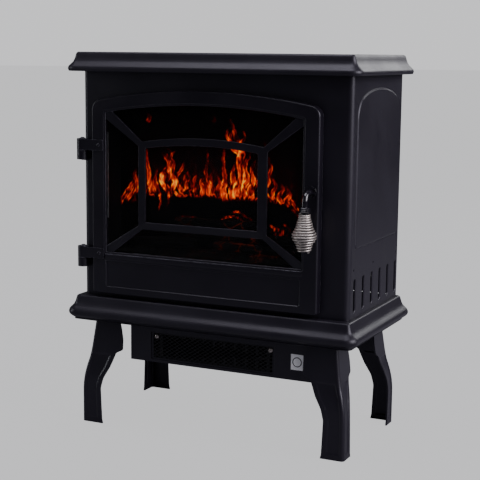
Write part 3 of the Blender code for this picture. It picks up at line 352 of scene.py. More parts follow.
def slab(shape, rows, sunk):
    """Faces over a grid of points, with sides and a back; sunk gives a border point's place at the back."""
    for lower, upper in zip(rows, rows[1:]):
        for index in range(len(lower) - 1):
            shape.faces.new((lower[index], lower[index + 1], upper[index + 1], upper[index]))
    border = rows[0] + [row[-1] for row in rows[1:-1]] + list(reversed(rows[-1])) + [
        row[0] for row in reversed(rows[1:-1])]
    back = [shape.verts.new(sunk(vertex.co)) for vertex in border]
    for index in range(len(border)):
        following = (index + 1) % len(border)
        shape.faces.new((border[following], border[index], back[index], back[following]))
    shape.faces.new(back)


def joined(*shapes):
    """Several bmeshes as one."""
    whole = bmesh.new()
    for shape in shapes:
        mesh = mesh_from(shape, "part", smooth=False)
        whole.from_mesh(mesh)
        bpy.data.meshes.remove(mesh)
    return whole


# ---------------------------------------------------------------- geometry node trees


def add_node(tree, kind, values=None, **settings):
    """A node with its settings and the values or links of its inputs."""
    node = tree.nodes.new(kind)
    for key, value in settings.items():
        setattr(node, key, value)
    for key, value in (values or {}).items():
        socket = node.inputs[key]
        if isinstance(value, bpy.types.NodeSocket):
            tree.links.new(value, socket)
        else:
            socket.default_value = value
    return node


def math_node(tree, operation, first, second=0.0, third=None):
    values = {0: first, 1: second}
    if third is not None:
        values[2] = third
    return add_node(tree, "ShaderNodeMath", values, operation=operation).outputs[0]


def node_tree(name, inputs):
    """A geometry tree with named inputs, given as (name, socket type, default)."""
    tree = bpy.data.node_groups.new(name, "GeometryNodeTree")
    tree.interface.new_socket("Geometry", in_out="INPUT", socket_type="NodeSocketGeometry")
    for label, kind, default in inputs:
        socket = tree.interface.new_socket(label, in_out="INPUT", socket_type=f"NodeSocket{kind}")
        if default is not None:
            socket.default_value = default
    tree.interface.new_socket("Geometry", in_out="OUTPUT", socket_type="NodeSocketGeometry")
    return tree, tree.nodes.new("NodeGroupInput").outputs


def finish_tree(tree, geometry, material):
    """End a tree in plain, smooth, finished geometry."""
    real = add_node(tree, "GeometryNodeRealizeInstances", {"Geometry": geometry})
    painted = add_node(tree, "GeometryNodeSetMaterial", {"Geometry": real.outputs[0], "Material": material})
    output = tree.nodes.new("NodeGroupOutput")
    tree.links.new(painted.outputs[0], output.inputs[0])
    return tree


def grow_nodes(tree, values, base=None):
    """Run a tree on a base mesh and return the plain mesh that it makes."""
    item = new_object("nodes_work", base or bpy.data.meshes.new("nodes_base"))
    modifier = item.modifiers.new("nodes", "NODES")
    modifier.node_group = tree
    for socket in tree.interface.items_tree:
        if socket.item_type == "SOCKET" and socket.in_out == "INPUT" and socket.name in values:
            modifier[socket.identifier] = values[socket.name]
    return settle(item, "grown")


def copies_on_points_tree():
    """Copies of a template on the points of a mesh, each turned to the point's own facing direction."""
    tree, inputs = node_tree("copies_on_points", [
        ("Template", "Object", None), ("Size", "Float", 1.0), ("Material", "Material", None),
    ])
    template = add_node(tree, "GeometryNodeObjectInfo", {"Object": inputs["Template"]})
    facing = add_node(tree, "GeometryNodeInputNamedAttribute", {"Name": "facing"}, data_type="FLOAT_VECTOR")
    spin = add_node(tree, "GeometryNodeInputNamedAttribute", {"Name": "spin"}, data_type="FLOAT")
    about = add_node(tree, "ShaderNodeCombineXYZ", {"Z": spin.outputs[0]})
    aimed = add_node(tree, "FunctionNodeAlignRotationToVector", {"Vector": facing.outputs[0]}, axis="Z")
    spun = add_node(
        tree, "FunctionNodeRotateRotation", {"Rotation": aimed.outputs[0], "Rotate By": about.outputs[0]},
        rotation_space="LOCAL",
    )
    copies = add_node(tree, "GeometryNodeInstanceOnPoints", {
        "Points": inputs["Geometry"], "Instance": template.outputs["Geometry"],
        "Rotation": spun.outputs[0], "Scale": inputs["Size"],
    })
    return finish_tree(tree, copies.outputs[0], inputs["Material"])


def copies_in_rows_tree():
    """Copies of a template in even rows, every second row shifted sideways by half a pitch."""
    tree, inputs = node_tree("copies_in_rows", [
        ("Template", "Object", None), ("Columns", "Int", 8), ("Rows", "Int", 1),
        ("Column Pitch", "Float", 0.01), ("Row Pitch", "Float", 0.01), ("Shift", "Float", 0.0),
        ("Start", "Vector", (0.0, 0.0, 0.0)), ("Material", "Material", None),
    ])
    template = add_node(tree, "GeometryNodeObjectInfo", {"Object": inputs["Template"]})
    total = math_node(tree, "MULTIPLY", inputs["Columns"], inputs["Rows"])
    points = add_node(tree, "GeometryNodePoints", {"Count": total})
    index = add_node(tree, "GeometryNodeInputIndex").outputs[0]
    row = math_node(tree, "FLOOR", math_node(tree, "DIVIDE", index, inputs["Columns"]))
    column = math_node(tree, "SUBTRACT", index, math_node(tree, "MULTIPLY", row, inputs["Columns"]))
    odd = math_node(tree, "MODULO", row, 2.0)
    across = math_node(tree, "MULTIPLY", column, inputs["Column Pitch"])
    across = math_node(tree, "ADD", across, math_node(tree, "MULTIPLY", odd, inputs["Shift"]))
    upward = math_node(tree, "MULTIPLY", row, inputs["Row Pitch"])
    offset = add_node(tree, "ShaderNodeCombineXYZ", {"X": across, "Z": upward})
    place = add_node(
        tree, "ShaderNodeVectorMath", {0: inputs["Start"], 1: offset.outputs[0]}, operation="ADD"
    )
    placed = add_node(
        tree, "GeometryNodeSetPosition", {"Geometry": points.outputs[0], "Position": place.outputs[0]}
    )
    copies = add_node(
        tree, "GeometryNodeInstanceOnPoints",
        {"Points": placed.outputs[0], "Instance": template.outputs["Geometry"]},
    )
    return finish_tree(tree, copies.outputs[0], inputs["Material"])


def coil_tree(radii, rises):
    """A wire wound round the Z axis: radii and rises say its radius and height along the winding."""
    tree, inputs = node_tree("wound_wire", [
        ("Turns", "Float", 15.0), ("Wire Radius", "Float", 0.0015), ("Low", "Float", 0.0),
        ("High", "Float", 0.05), ("Widest", "Float", 0.02), ("Steps", "Int", 500),
        ("Centre", "Vector", (0.0, 0.0, 0.0)), ("Material", "Material", None),
    ])
    line = add_node(tree, "GeometryNodeCurvePrimitiveLine", {"Start": (0, 0, 0), "End": (0, 0, 1)})
    dense = add_node(
        tree, "GeometryNodeResampleCurve", {"Curve": line.outputs[0], "Count": inputs["Steps"]}
    )
    along = add_node(tree, "GeometryNodeSplineParameter").outputs["Factor"]

    def shaped(points):
        curve = add_node(tree, "ShaderNodeFloatCurve", {"Value": along})
        line_points = curve.mapping.curves[0].points
        line_points[0].location = points[0]
        line_points[1].location = points[-1]
        for place in points[1:-1]:
            line_points.new(*place)
        curve.mapping.update()
        return curve.outputs[0]

    radius = math_node(tree, "MULTIPLY", shaped(radii), inputs["Widest"])
    reach = math_node(tree, "SUBTRACT", inputs["High"], inputs["Low"])
    height = math_node(tree, "MULTIPLY_ADD", shaped(rises), reach, inputs["Low"])
    angle = math_node(tree, "MULTIPLY", math_node(tree, "MULTIPLY", along, inputs["Turns"]), 2 * pi)
    x = math_node(tree, "MULTIPLY", radius, math_node(tree, "COSINE", angle))
    y = math_node(tree, "MULTIPLY", radius, math_node(tree, "SINE", angle))
    spot = add_node(tree, "ShaderNodeCombineXYZ", {"X": x, "Y": y, "Z": height})
    place = add_node(
        tree, "ShaderNodeVectorMath", {0: spot.outputs[0], 1: inputs["Centre"]}, operation="ADD"
    )
    wound = add_node(
        tree, "GeometryNodeSetPosition", {"Geometry": dense.outputs[0], "Position": place.outputs[0]}
    )
    section = add_node(
        tree, "GeometryNodeCurvePrimitiveCircle", {"Resolution": 12, "Radius": inputs["Wire Radius"]}
    )
    wire = add_node(tree, "GeometryNodeCurveToMesh", {
        "Curve": wound.outputs[0], "Profile Curve": section.outputs[0], "Fill Caps": True,
    })
    return finish_tree(tree, wire.outputs[0], inputs["Material"])


def scatter_tree():
    """Small pieces strewn over a surface, each turned and sized by chance from a fixed seed."""
    tree, inputs = node_tree("strewn_pieces", [
        ("Template", "Object", None), ("Density", "Float", 20000.0), ("Smallest", "Float", 0.5),
        ("Largest", "Float", 1.2), ("Seed", "Int", 4), ("Material", "Material", None),
    ])
    template = add_node(tree, "GeometryNodeObjectInfo", {"Object": inputs["Template"]})
    points = add_node(tree, "GeometryNodeDistributePointsOnFaces", {
        "Mesh": inputs["Geometry"], "Density": inputs["Density"], "Seed": inputs["Seed"],
    })
    turn = add_node(tree, "FunctionNodeRandomValue", {
        "Min": (0.0, 0.0, 0.0), "Max": (6.3, 6.3, 6.3), "Seed": inputs["Seed"],
    }, data_type="FLOAT_VECTOR")
    size = add_node(tree, "FunctionNodeRandomValue", {
        2: inputs["Smallest"], 3: inputs["Largest"], "Seed": inputs["Seed"],
    }, data_type="FLOAT")
    copies = add_node(tree, "GeometryNodeInstanceOnPoints", {
        "Points": points.outputs[0], "Instance": template.outputs["Geometry"],
        "Rotation": turn.outputs[0], "Scale": size.outputs[1],
    })
    return finish_tree(tree, copies.outputs[0], inputs["Material"])


def template_object(shape, smooth=True):
    """A shape kept out of sight while a tree copies it."""
    return new_object("template", mesh_from(shape, "template", smooth))


def drop(item):
    mesh = item.data
    bpy.data.objects.remove(item, do_unlink=True)
    bpy.data.meshes.remove(mesh)


def place_copies(name, shape, places, material, body, replaces=(), size=1.0):
    """Copies of one shape at (place, facing, spin), as one piece made by the copies_on_points tree."""
    points = bpy.data.meshes.new("points")
    points.from_pydata([place for place, _, _ in places], [], [])
    points.attributes.new("facing", "FLOAT_VECTOR", "POINT")
    points.attributes.new("spin", "FLOAT", "POINT")
    for index, (_, direction, angle) in enumerate(places):
        points.attributes["facing"].data[index].vector = direction
        points.attributes["spin"].data[index].value = angle
    template = template_object(shape)
    values = {"Template": template, "Size": size, "Material": MATERIALS[material]}
    mesh = grow_nodes(TREES["points"], values, points)
    drop(template)
    return finish_piece(name, mesh, material, body, replaces)


def rows_of(name, shape, values, material, body, replaces=()):
    """Copies of one shape in rows, as one piece made by the copies_in_rows tree."""
    template = template_object(shape)
    values = {"Template": template, "Material": MATERIALS[material], **values}
    mesh = grow_nodes(TREES["rows"], values)
    drop(template)
    return finish_piece(name, mesh, material, body, replaces)


# ---------------------------------------------------------------- shader groups and materials

MATERIALS = {}
TREES = {}
GROUPS = {}


def shader_group(name, inputs, outputs):
    """A shader group with named inputs (name, type, default) and outputs (name, type)."""
    tree = bpy.data.node_groups.new(name, "ShaderNodeTree")
    for label, kind, default in inputs:
        socket = tree.interface.new_socket(label, in_out="INPUT", socket_type=f"NodeSocket{kind}")
        socket.default_value = default
    for label, kind in outputs:
        tree.interface.new_socket(label, in_out="OUTPUT", socket_type=f"NodeSocket{kind}")
    GROUPS[name] = tree
    return tree, tree.nodes.new("NodeGroupInput").outputs, tree.nodes.new("NodeGroupOutput").inputs


def noise_at(tree, place, scale, detail=2.0, roughness=0.5):
    values = {"Vector": place, "Scale": scale, "Detail": detail, "Roughness": roughness}
    return add_node(tree, "ShaderNodeTexNoise", values).outputs[0]


def ranged(tree, value, low, high, new_low=0.0, new_high=1.0):
    values = {"Value": value, "From Min": low, "From Max": high, "To Min": new_low, "To Max": new_high}
    return add_node(tree, "ShaderNodeMapRange", values, interpolation_type="SMOOTHSTEP").outputs[0]


def blended(tree, share, first, second, how="MIX"):
    node = add_node(
        tree, "ShaderNodeMix", {0: share, 6: first, 7: second}, data_type="RGBA", blend_type=how
    )
    return node.outputs[2]


def stretched(tree, place, scale):
    return add_node(tree, "ShaderNodeMapping", {"Vector": place, "Scale": scale}).outputs[0]


def make_coat_group():
    """Powder coat: fine orange peel, slow clouding, lighter edges that are partly edge wear and partly a
    painted highlight, and a little settled dust.
    """
    tree, inputs, outputs = shader_group("powder_coat", [
        ("Colour", "Color", (0.012, 0.012, 0.015, 1)), ("Rubbed Colour", "Color", (0.05, 0.05, 0.06, 1)),
        ("Gloss Roughness", "Float", 0.36), ("Grain Scale", "Float", 900.0),
        ("Rubbing", "Float", 0.5), ("Dust", "Float", 0.15),
    ], [("Colour", "Color"), ("Roughness", "Float"), ("Height", "Float")])
    place = add_node(tree, "ShaderNodeTexCoord").outputs["Object"]
    grain = noise_at(tree, place, inputs["Grain Scale"], 2.0, 0.55)
    clouds = noise_at(tree, place, 11.0, 3.0, 0.6)
    specks = noise_at(tree, place, 210.0, 3.0, 0.6)
    point = add_node(tree, "ShaderNodeNewGeometry")
    rounded = add_node(tree, "ShaderNodeBevel", {"Radius": 0.0012}, samples=4)
    across = add_node(
        tree, "ShaderNodeVectorMath", {0: rounded.outputs[0], 1: point.outputs["Normal"]},
        operation="DOT_PRODUCT",
    )
    # Lighter edges: partly edge wear and partly a painted highlight, broken up by specks.
    edge = ranged(tree, across.outputs["Value"], 0.985, 0.80)
    wear_and_highlight = math_node(tree, "MULTIPLY", edge, ranged(tree, specks, 0.35, 0.62))
    wear_and_highlight = math_node(tree, "MULTIPLY", wear_and_highlight, inputs["Rubbing"])
    lighter = blended(tree, 1.0, inputs["Colour"], (1.18, 1.18, 1.2, 1), "MULTIPLY")
    clouded = blended(tree, ranged(tree, clouds, 0.35, 0.7), inputs["Colour"], lighter)
    worn_and_highlighted = blended(tree, wear_and_highlight, clouded, inputs["Rubbed Colour"])
    upward = add_node(tree, "ShaderNodeSeparateXYZ", {0: point.outputs["Normal"]}).outputs[2]
    settled = math_node(tree, "MULTIPLY", ranged(tree, upward, 0.4, 1.0), ranged(tree, specks, 0.42, 0.75))
    settled = math_node(tree, "MULTIPLY", settled, inputs["Dust"])
    dusty = blended(tree, settled, worn_and_highlighted, (0.16, 0.155, 0.15, 1))
    rough = math_node(tree, "ADD", inputs["Gloss Roughness"], ranged(tree, clouds, 0.3, 0.75, -0.03, 0.06))
    rough = math_node(tree, "ADD", rough, math_node(tree, "MULTIPLY", settled, 0.3))
    rough = math_node(tree, "ADD", rough, ranged(tree, grain, 0.3, 0.7, -0.03, 0.03))
    tree.links.new(dusty, outputs["Colour"])
    tree.links.new(rough, outputs["Roughness"])
    tree.links.new(grain, outputs["Height"])


def make_metal_group():
    """Plain metal: drawn or rolled streaks, zinc flowers and small stains."""
    tree, inputs, outputs = shader_group("bare_metal", [
        ("Colour", "Color", (0.6, 0.6, 0.6, 1)), ("Base Roughness", "Float", 0.3),
        ("Streaks", "Vector", (40.0, 40.0, 900.0)), ("Flowers", "Float", 0.0), ("Stains", "Float", 0.2),
    ], [("Colour", "Color"), ("Roughness", "Float"), ("Height", "Float")])
    place = add_node(tree, "ShaderNodeTexCoord").outputs["Object"]
    streaks = noise_at(tree, stretched(tree, place, inputs["Streaks"]), 1.0, 3.0, 0.6)
    cells = add_node(tree, "ShaderNodeTexVoronoi", {"Vector": place, "Scale": 160.0})
    flowers = add_node(tree, "ShaderNodeSeparateColor", {0: cells.outputs["Color"]}).outputs[0]
    stains = ranged(tree, noise_at(tree, place, 55.0, 4.0, 0.65), 0.48, 0.72)
    stains = math_node(tree, "MULTIPLY", stains, inputs["Stains"])
    flowered = math_node(tree, "MULTIPLY", inputs["Flowers"], flowers)
    deeper = blended(tree, 1.0, inputs["Colour"], (0.5, 0.52, 0.55, 1), "MULTIPLY")
    lit = blended(tree, flowered, inputs["Colour"], deeper)
    stained = blended(tree, stains, lit, (0.10, 0.085, 0.07, 1))
    rough = math_node(tree, "ADD", inputs["Base Roughness"], ranged(tree, streaks, 0.3, 0.7, -0.06, 0.08))
    rough = math_node(tree, "ADD", rough, math_node(tree, "MULTIPLY", stains, 0.35))
    rough = math_node(tree, "ADD", rough, math_node(tree, "MULTIPLY", flowered, 0.12))
    tree.links.new(stained, outputs["Colour"])
    tree.links.new(rough, outputs["Roughness"])
    tree.links.new(streaks, outputs["Height"])


def make_char_group():
    """Charred wood: bark ridges along its length, ash on the ridges and fire in the cracks."""
    tree, inputs, outputs = shader_group("charred_wood", [
        ("Char", "Color", (0.0016, 0.0012, 0.0010, 1)), ("Ash", "Color", (0.0075, 0.0052, 0.0042, 1)),
        ("Stretch", "Vector", (60.0, 260.0, 260.0)), ("Crack Scale", "Float", 60.0),
        ("Ember Spread", "Float", 0.5),
    ], [("Colour", "Color"), ("Roughness", "Float"), ("Height", "Float"), ("Glow", "Color")])
    place = add_node(tree, "ShaderNodeTexCoord").outputs["Object"]
    bark = noise_at(tree, stretched(tree, place, inputs["Stretch"]), 1.0, 4.0, 0.6)
    bend = noise_at(tree, place, 45.0, 3.0, 0.6)
    shift = add_node(tree, "ShaderNodeVectorMath", {
        0: place, 1: add_node(tree, "ShaderNodeCombineXYZ", {
            "X": math_node(tree, "MULTIPLY", bend, 0.03), "Z": math_node(tree, "MULTIPLY", bend, 0.02),
        }).outputs[0],
    }, operation="ADD").outputs[0]
    cracks = add_node(
        tree, "ShaderNodeTexVoronoi", {"Vector": shift, "Scale": inputs["Crack Scale"]},
        feature="DISTANCE_TO_EDGE",
    ).outputs[0]
    crack = ranged(tree, cracks, 0.045, 0.0)
    patch = ranged(tree, noise_at(tree, place, 24.0, 2.0, 0.5), 0.50, 0.64)
    across = add_node(tree, "ShaderNodeSeparateXYZ", {0: place}).outputs[0]
    to_right = ranged(tree, across, -0.02, 0.05, 0.25)
    hot = math_node(tree, "MULTIPLY", math_node(tree, "MULTIPLY", crack, patch), to_right)
    hot = math_node(tree, "MULTIPLY", hot, inputs["Ember Spread"])
    ash = blended(tree, ranged(tree, bark, 0.52, 0.78), inputs["Char"], inputs["Ash"])
    glow = add_node(tree, "ShaderNodeValToRGB", {0: hot})
    glow.color_ramp.elements[0].color = (0, 0, 0, 1)
    glow.color_ramp.elements[1].color = (1.0, 0.30, 0.03, 1)
    warm = glow.color_ramp.elements.new(0.4)
    warm.color = (0.50, 0.045, 0.0, 1)
    tree.links.new(ash, outputs["Colour"])
    tree.links.new(ranged(tree, bark, 0.3, 0.8, 0.75, 0.95), outputs["Roughness"])
    tree.links.new(math_node(tree, "SUBTRACT", bark, crack), outputs["Height"])
    tree.links.new(glow.outputs[0], outputs["Glow"])


def make_plastic_group():
    """Moulded plastic: spark-eroded grain with a slight sheen change and rubbed corners."""
    tree, inputs, outputs = shader_group("moulded_plastic", [
        ("Colour", "Color", (0.02, 0.02, 0.02, 1)), ("Base Roughness", "Float", 0.45),
        ("Grain Scale", "Float", 1400.0),
    ], [("Colour", "Color"), ("Roughness", "Float"), ("Height", "Float")])
    place = add_node(tree, "ShaderNodeTexCoord").outputs["Object"]
    grain = noise_at(tree, place, inputs["Grain Scale"], 2.0, 0.5)
    clouds = noise_at(tree, place, 40.0, 2.0, 0.5)
    lighter = blended(tree, 1.0, inputs["Colour"], (1.35, 1.35, 1.35, 1), "MULTIPLY")
    colour = blended(tree, ranged(tree, clouds, 0.35, 0.7), inputs["Colour"], lighter)
    rough = math_node(tree, "ADD", inputs["Base Roughness"], ranged(tree, grain, 0.3, 0.7, -0.06, 0.06))
    tree.links.new(colour, outputs["Colour"])
    tree.links.new(rough, outputs["Roughness"])
    tree.links.new(grain, outputs["Height"])


def material_from(name, group, values, bump, shader_values=None, distance=0.0001):
    """A material whose colour, roughness and relief come from a shared group."""
    material = bpy.data.materials.new(name)
    material.use_nodes = True
    tree = material.node_tree
    shader = tree.nodes["Principled BSDF"]
    texture = add_node(tree, "ShaderNodeGroup", {}, node_tree=GROUPS[group])
    for key, value in values.items():
        texture.inputs[key].default_value = value
    tree.links.new(texture.outputs["Colour"], shader.inputs["Base Color"])
    tree.links.new(texture.outputs["Roughness"], shader.inputs["Roughness"])
    if bump:
        relief = add_node(tree, "ShaderNodeBump", {
            "Strength": bump, "Distance": distance, "Height": texture.outputs["Height"],
        })
        tree.links.new(relief.outputs[0], shader.inputs["Normal"])
    for key, value in (shader_values or {}).items():
        shader.inputs[key].default_value = value
    MATERIALS[name] = material
    return tree, texture, shader


def rgb(colour):
    return (*colour, 1.0)


def make_coats():
    finish = bpy.context.scene.stove_finish
    body = {"Colour": rgb(finish.casing_colour), "Gloss Roughness": finish.casing_roughness}
    sheen = {"Specular IOR Level": 0.40, "Specular Tint": (0.93, 0.93, 1.0, 1)}
    material_from("casing_coat", "powder_coat", {**body, "Rubbing": 0.45, "Dust": 0.03}, 0.16, sheen)
    door = {"Colour": rgb(finish.door_colour), "Gloss Roughness": finish.door_roughness}
    # The door's lighter, bluish edges are a painted highlight, partly edge wear.
    wear_and_highlight = {"Rubbed Colour": (0.15, 0.145, 0.18, 1), "Rubbing": 1.0, "Dust": 0.04}
    material_from("door_coat", "powder_coat", {**door, **wear_and_highlight}, 0.18, sheen)
    legs = {**body, "Gloss Roughness": 0.33, "Rubbing": 0.6, "Dust": 0.06}
    material_from("leg_coat", "powder_coat", legs, 0.20, sheen)
    gloss = {**door, "Gloss Roughness": 0.13, "Rubbing": 0.2, "Grain Scale": 500.0, "Dust": 0.0}
    material_from("rod_gloss", "powder_coat", gloss, 0.04, {"Coat Weight": 0.5, "Coat Roughness": 0.08})
    matt = {"Colour": (0.0022, 0.0021, 0.0021, 1), "Gloss Roughness": 0.75, "Rubbing": 0.1, "Dust": 0.0}
    material_from("firebox_matt", "powder_coat", matt, 0.2, {"Specular IOR Level": 0.12})
    white = {"Colour": (0.90, 0.90, 0.90, 1), "Base Roughness": 0.4}
    material_from("label_white", "moulded_plastic", white, 0.03)


def make_metals():
    steel = {"Colour": (0.50, 0.455, 0.42, 1), "Base Roughness": 0.36, "Streaks": (300.0, 300.0, 300.0),
             "Stains": 0.08}
    material_from("bright_wire", "bare_metal", steel, 0.05, {"Metallic": 0.8})
    zinc = {"Colour": (0.46, 0.47, 0.48, 1), "Base Roughness": 0.38, "Flowers": 0.8, "Stains": 0.15}
    material_from("zinc_sheet", "bare_metal", zinc, 0.06, {"Metallic": 1.0})
    fins = {"Colour": (0.045, 0.045, 0.048, 1), "Base Roughness": 0.45, "Streaks": (60.0, 60.0, 1500.0)}
    material_from("fin_metal", "bare_metal", fins, 0.06, {"Metallic": 1.0})
    black = {"Colour": (0.022, 0.022, 0.024, 1), "Base Roughness": 0.42, "Stains": 0.1}
    material_from("black_mesh", "bare_metal", black, 0.05, {"Metallic": 0.6})


def make_plastics():
    finish = bpy.context.scene.stove_finish
    dark = {"Colour": (0.016, 0.016, 0.017, 1), "Base Roughness": 0.46}
    material_from("black_plastic", "moulded_plastic", dark, 0.12)
    red = {"Colour": rgb(finish.rocker_colour), "Base Roughness": 0.22, "Grain Scale": 300.0}
    material_from("red_rocker", "moulded_plastic", red, 0.02, {"Coat Weight": 0.4})
    ivory = {"Colour": (0.62, 0.60, 0.54, 1), "Base Roughness": 0.5}
    material_from("nylon", "moulded_plastic", ivory, 0.05)
    material_from("circuit_board", "moulded_plastic", {"Colour": (0.55, 0.58, 0.54, 1)}, 0.02)
    material_from("dial_marks", "moulded_plastic", {"Colour": (0.72, 0.72, 0.70, 1)}, 0.02)
    amber = {"Colour": (0.75, 0.30, 0.06, 1), "Base Roughness": 0.2}
    tree, texture, shader = material_from("amber_lamp", "moulded_plastic", amber, 0.0)
    tree.links.new(texture.outputs["Colour"], shader.inputs["Emission Color"])
    shader.inputs["Emission Strength"].default_value = 1.5


def make_fire_materials():
    fire = bpy.context.scene.stove_fire
    spread = {
        "log_bark": {"Crack Scale": 46.0, "Ember Spread": 0.10},
        "ember_heap": {"Crack Scale": 95.0, "Ember Spread": 0.06, "Stretch": (180.0, 180.0, 180.0)},
        "loose_embers": {"Crack Scale": 210.0, "Ember Spread": 0.18, "Stretch": (400.0, 400.0, 400.0)},
    }
    for name, values in spread.items():
        tree, texture, shader = material_from(
            name, "charred_wood", values, 0.5, {"Specular IOR Level": 0.1}, 0.0006
        )
        tree.links.new(texture.outputs["Glow"], shader.inputs["Emission Color"])
        shader.inputs["Emission Strength"].default_value = fire.ember_strength

    screen = {"Colour": (0.0015, 0.0012, 0.0012, 1), "Base Roughness": 0.45, "Grain Scale": 300.0}
    tree, texture, shader = material_from("lit_screen", "moulded_plastic", screen, 0.0,
                                          {"Specular IOR Level": 0.06})
    light = add_node(tree, "ShaderNodeAttribute", {}, attribute_name="fire_light")
    tree.links.new(light.outputs["Color"], shader.inputs["Emission Color"])
    shader.inputs["Emission Strength"].default_value = fire.flame_strength


def make_glass():
    """Thin clear glass: it lets light straight through and shines a little more at a glance."""
    material = bpy.data.materials.new("door_glass")
    material.use_nodes = True
    tree = material.node_tree
    shader = tree.nodes["Principled BSDF"]
    place = add_node(tree, "ShaderNodeTexCoord").outputs["Object"]
    film = noise_at(tree, place, 30.0, 3.0, 0.6)
    tree.links.new(ranged(tree, film, 0.35, 0.75, 0.0, 0.02), shader.inputs["Roughness"])
    tree.links.new(
        blended(tree, ranged(tree, film, 0.3, 0.8), (0.010, 0.011, 0.012, 1), (0.018, 0.019, 0.020, 1)),
        shader.inputs["Base Color"],
    )
    facing = add_node(tree, "ShaderNodeLayerWeight", {"Blend": 0.5}).outputs["Facing"]
    glance = math_node(tree, "MULTIPLY_ADD", math_node(tree, "POWER", facing, 5.0), 0.60, 0.10)
    tree.links.new(glance, shader.inputs["Alpha"])
    MATERIALS["door_glass"] = material


SLOT_MATERIALS = {
    "black_coat": "casing_coat", "door_coat": "door_coat", "inner_black": "firebox_matt",
    "bright_steel": "bright_wire", "galvanised": "zinc_sheet", "glass": "door_glass",
    "screen": "lit_screen", "embers": "ember_heap", "log_bark": "log_bark",
    "black_plastic": "black_plastic", "red_rocker": "red_rocker", "nylon": "nylon",
    "board": "circuit_board", "heater_fins": "fin_metal",
}


def dress_frame():
    """Give every piece of the frame the material of its slot."""
    for part in frame["record"]["subparts"]:
        material = MATERIALS[SLOT_MATERIALS[part["material_slot"]]]
        item = frame["nodes"][part["node"]]
        for slot in item.material_slots:
            slot.link = "OBJECT"
            slot.material = material
        if not item.material_slots:
            item.data.materials.append(material)


# ---------------------------------------------------------------- casing

CASING_HALF_WIDTH = 0.2008
CASING_HALF_DEPTH = 0.1018
CASING_CORNER = 0.0075
CASING_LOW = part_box("front_panel")[0].z
CASING_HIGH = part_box("front_panel")[1].z
FRONT_RETURN = 0.0090
REAR_RETURN = 0.0120
SHEET = 0.0012
CASING_OPENING = (-0.1620, 0.1400, 0.2495, 0.4650)
LATCH_SLOT = (0.1435, 0.1575, 0.3285, 0.3640)
TOP_RIM = (0.2170, 0.1180, -0.0083)
TOP_EDGE = (
    (0.0140, 0.5035), (0.0026, 0.5035), (0.0007, 0.5050), (0.0000, 0.5070), (0.0005, 0.5095),
    (0.0019, 0.5114), (0.0042, 0.5135), (0.0063, 0.5155), (0.0082, 0.5180), (0.0098, 0.5215),
    (0.0110, 0.5255), (0.0122, 0.5285), (0.0140, 0.5300),
)
BASE_RIM = (0.2190, 0.11965, -0.00785)
BASE_EDGE = (
    (0.0620, 0.1522), (0.0130, 0.1522), (0.0090, 0.1545), (0.0050, 0.1568), (0.0022, 0.1590),
    (0.0006, 0.1610), (0.0000, 0.1632), (0.0003, 0.1655), (0.0014, 0.1678), (0.0034, 0.1700),
    (0.0056, 0.1720), (0.0078, 0.1746), (0.0095, 0.1780), (0.0108, 0.1820), (0.0120, 0.1856),
    (0.0136, 0.1872),
)
AIR_INTAKE = (-0.1000, 0.1000, -0.0800, 0.0100)
SIDE_SLOTS = 6
SIDE_SLOT_FIRST = -0.0800
SIDE_SLOT_PITCH = 0.0336
SIDE_SLOT_WIDTH = 0.0076
SIDE_SLOT_HEIGHTS = (0.1950, 0.2390)
SIDE_ARCH = (-0.0840, 0.0890, 0.2790, 0.4710, 0.4870)
SIDE_ARCH_CORNER = 0.0320
SIDE_HOLES = ((-0.0850, 0.2520), (-0.0090, 0.2520), (0.0900, 0.2520))
REAR_VENTS = 9
REAR_VENT_PITCH = 0.0200
REAR_VENT_SIZE = (0.0060, 0.0400)
REAR_VENT_HEIGHTS = (0.2150, 0.4400)
REAR_VENT_MIDDLE = -0.0550
CONTROL_OPENING = (0.0940, 0.1780, 0.4030, 0.4570)
GLAND_HOLE = (0.1650, 0.2150, 0.0066)


def oriented(shape, direction):
    """Turn all faces outwards, judged by the largest face that looks along a direction."""
    bmesh.ops.recalc_face_normals(shape, faces=shape.faces)
    direction = Vector(direction)
    flat = max(shape.faces, key=lambda face: face.calc_area() * abs(face.normal.dot(direction)))
    if flat.normal.dot(direction) < 0:
        bmesh.ops.reverse_faces(shape, faces=shape.faces)
    return shape


def rim_rings(rim, edge, corner, steps=4):
    half_x, half_y, middle = rim
    lowest = min(height for _, height in edge)
    highest = max(height for _, height in edge)
    rings = []
    for inset, height in smooth_line(edge, steps):
        inset = max(inset, 0.0)
        height = min(max(height, lowest), highest)
        radius = max(corner - inset, 0.0040)
        x, y = half_x - inset, half_y - inset
        outline = rectangle(-x, x, depth(middle) - y, depth(middle) + y, radius, 10)
        rings.append(at_height(outline, height))
    return rings


def moulded_pan(rim, edge, holes=()):
    """A pressed pan with a moulded edge: its deck has holes, and its underside is open."""
    corner = bpy.context.scene.stove_casing.rim_corner
    rings = rim_rings(rim, edge, corner)
    shape = loft(rings)
    deck = pressed_sheet([rings[-1]], [([at_height(hole, edge[-1][1])], False) for hole in holes])
    whole = joined(shape, deck)
    bmesh.ops.remove_doubles(whole, verts=whole.verts, dist=MERGE)
    return with_modifiers(oriented(whole, (0, 0, 1)), wall(0.0009))


def corner_strip(along, radius, tail, low, high):
    """A rounded vertical corner at the end of a flat sheet, from its face to the end of its return."""
    line = [(along + radius * sin(pi / 2 * step / 10), -radius * (1 - cos(pi / 2 * step / 10)))
            for step in range(11)]
    line.append(tail)
    return loft([[(x, low, z) for x, z in line], [(x, high, z) for x, z in line]], closed=False)


def press(outline_at, steps, filled):
    """A pressed feature: outline_at gives the outline for an inset, and steps are (inset, height)."""
    return [at_height(outline_at(inset), height) for inset, height in steps], filled


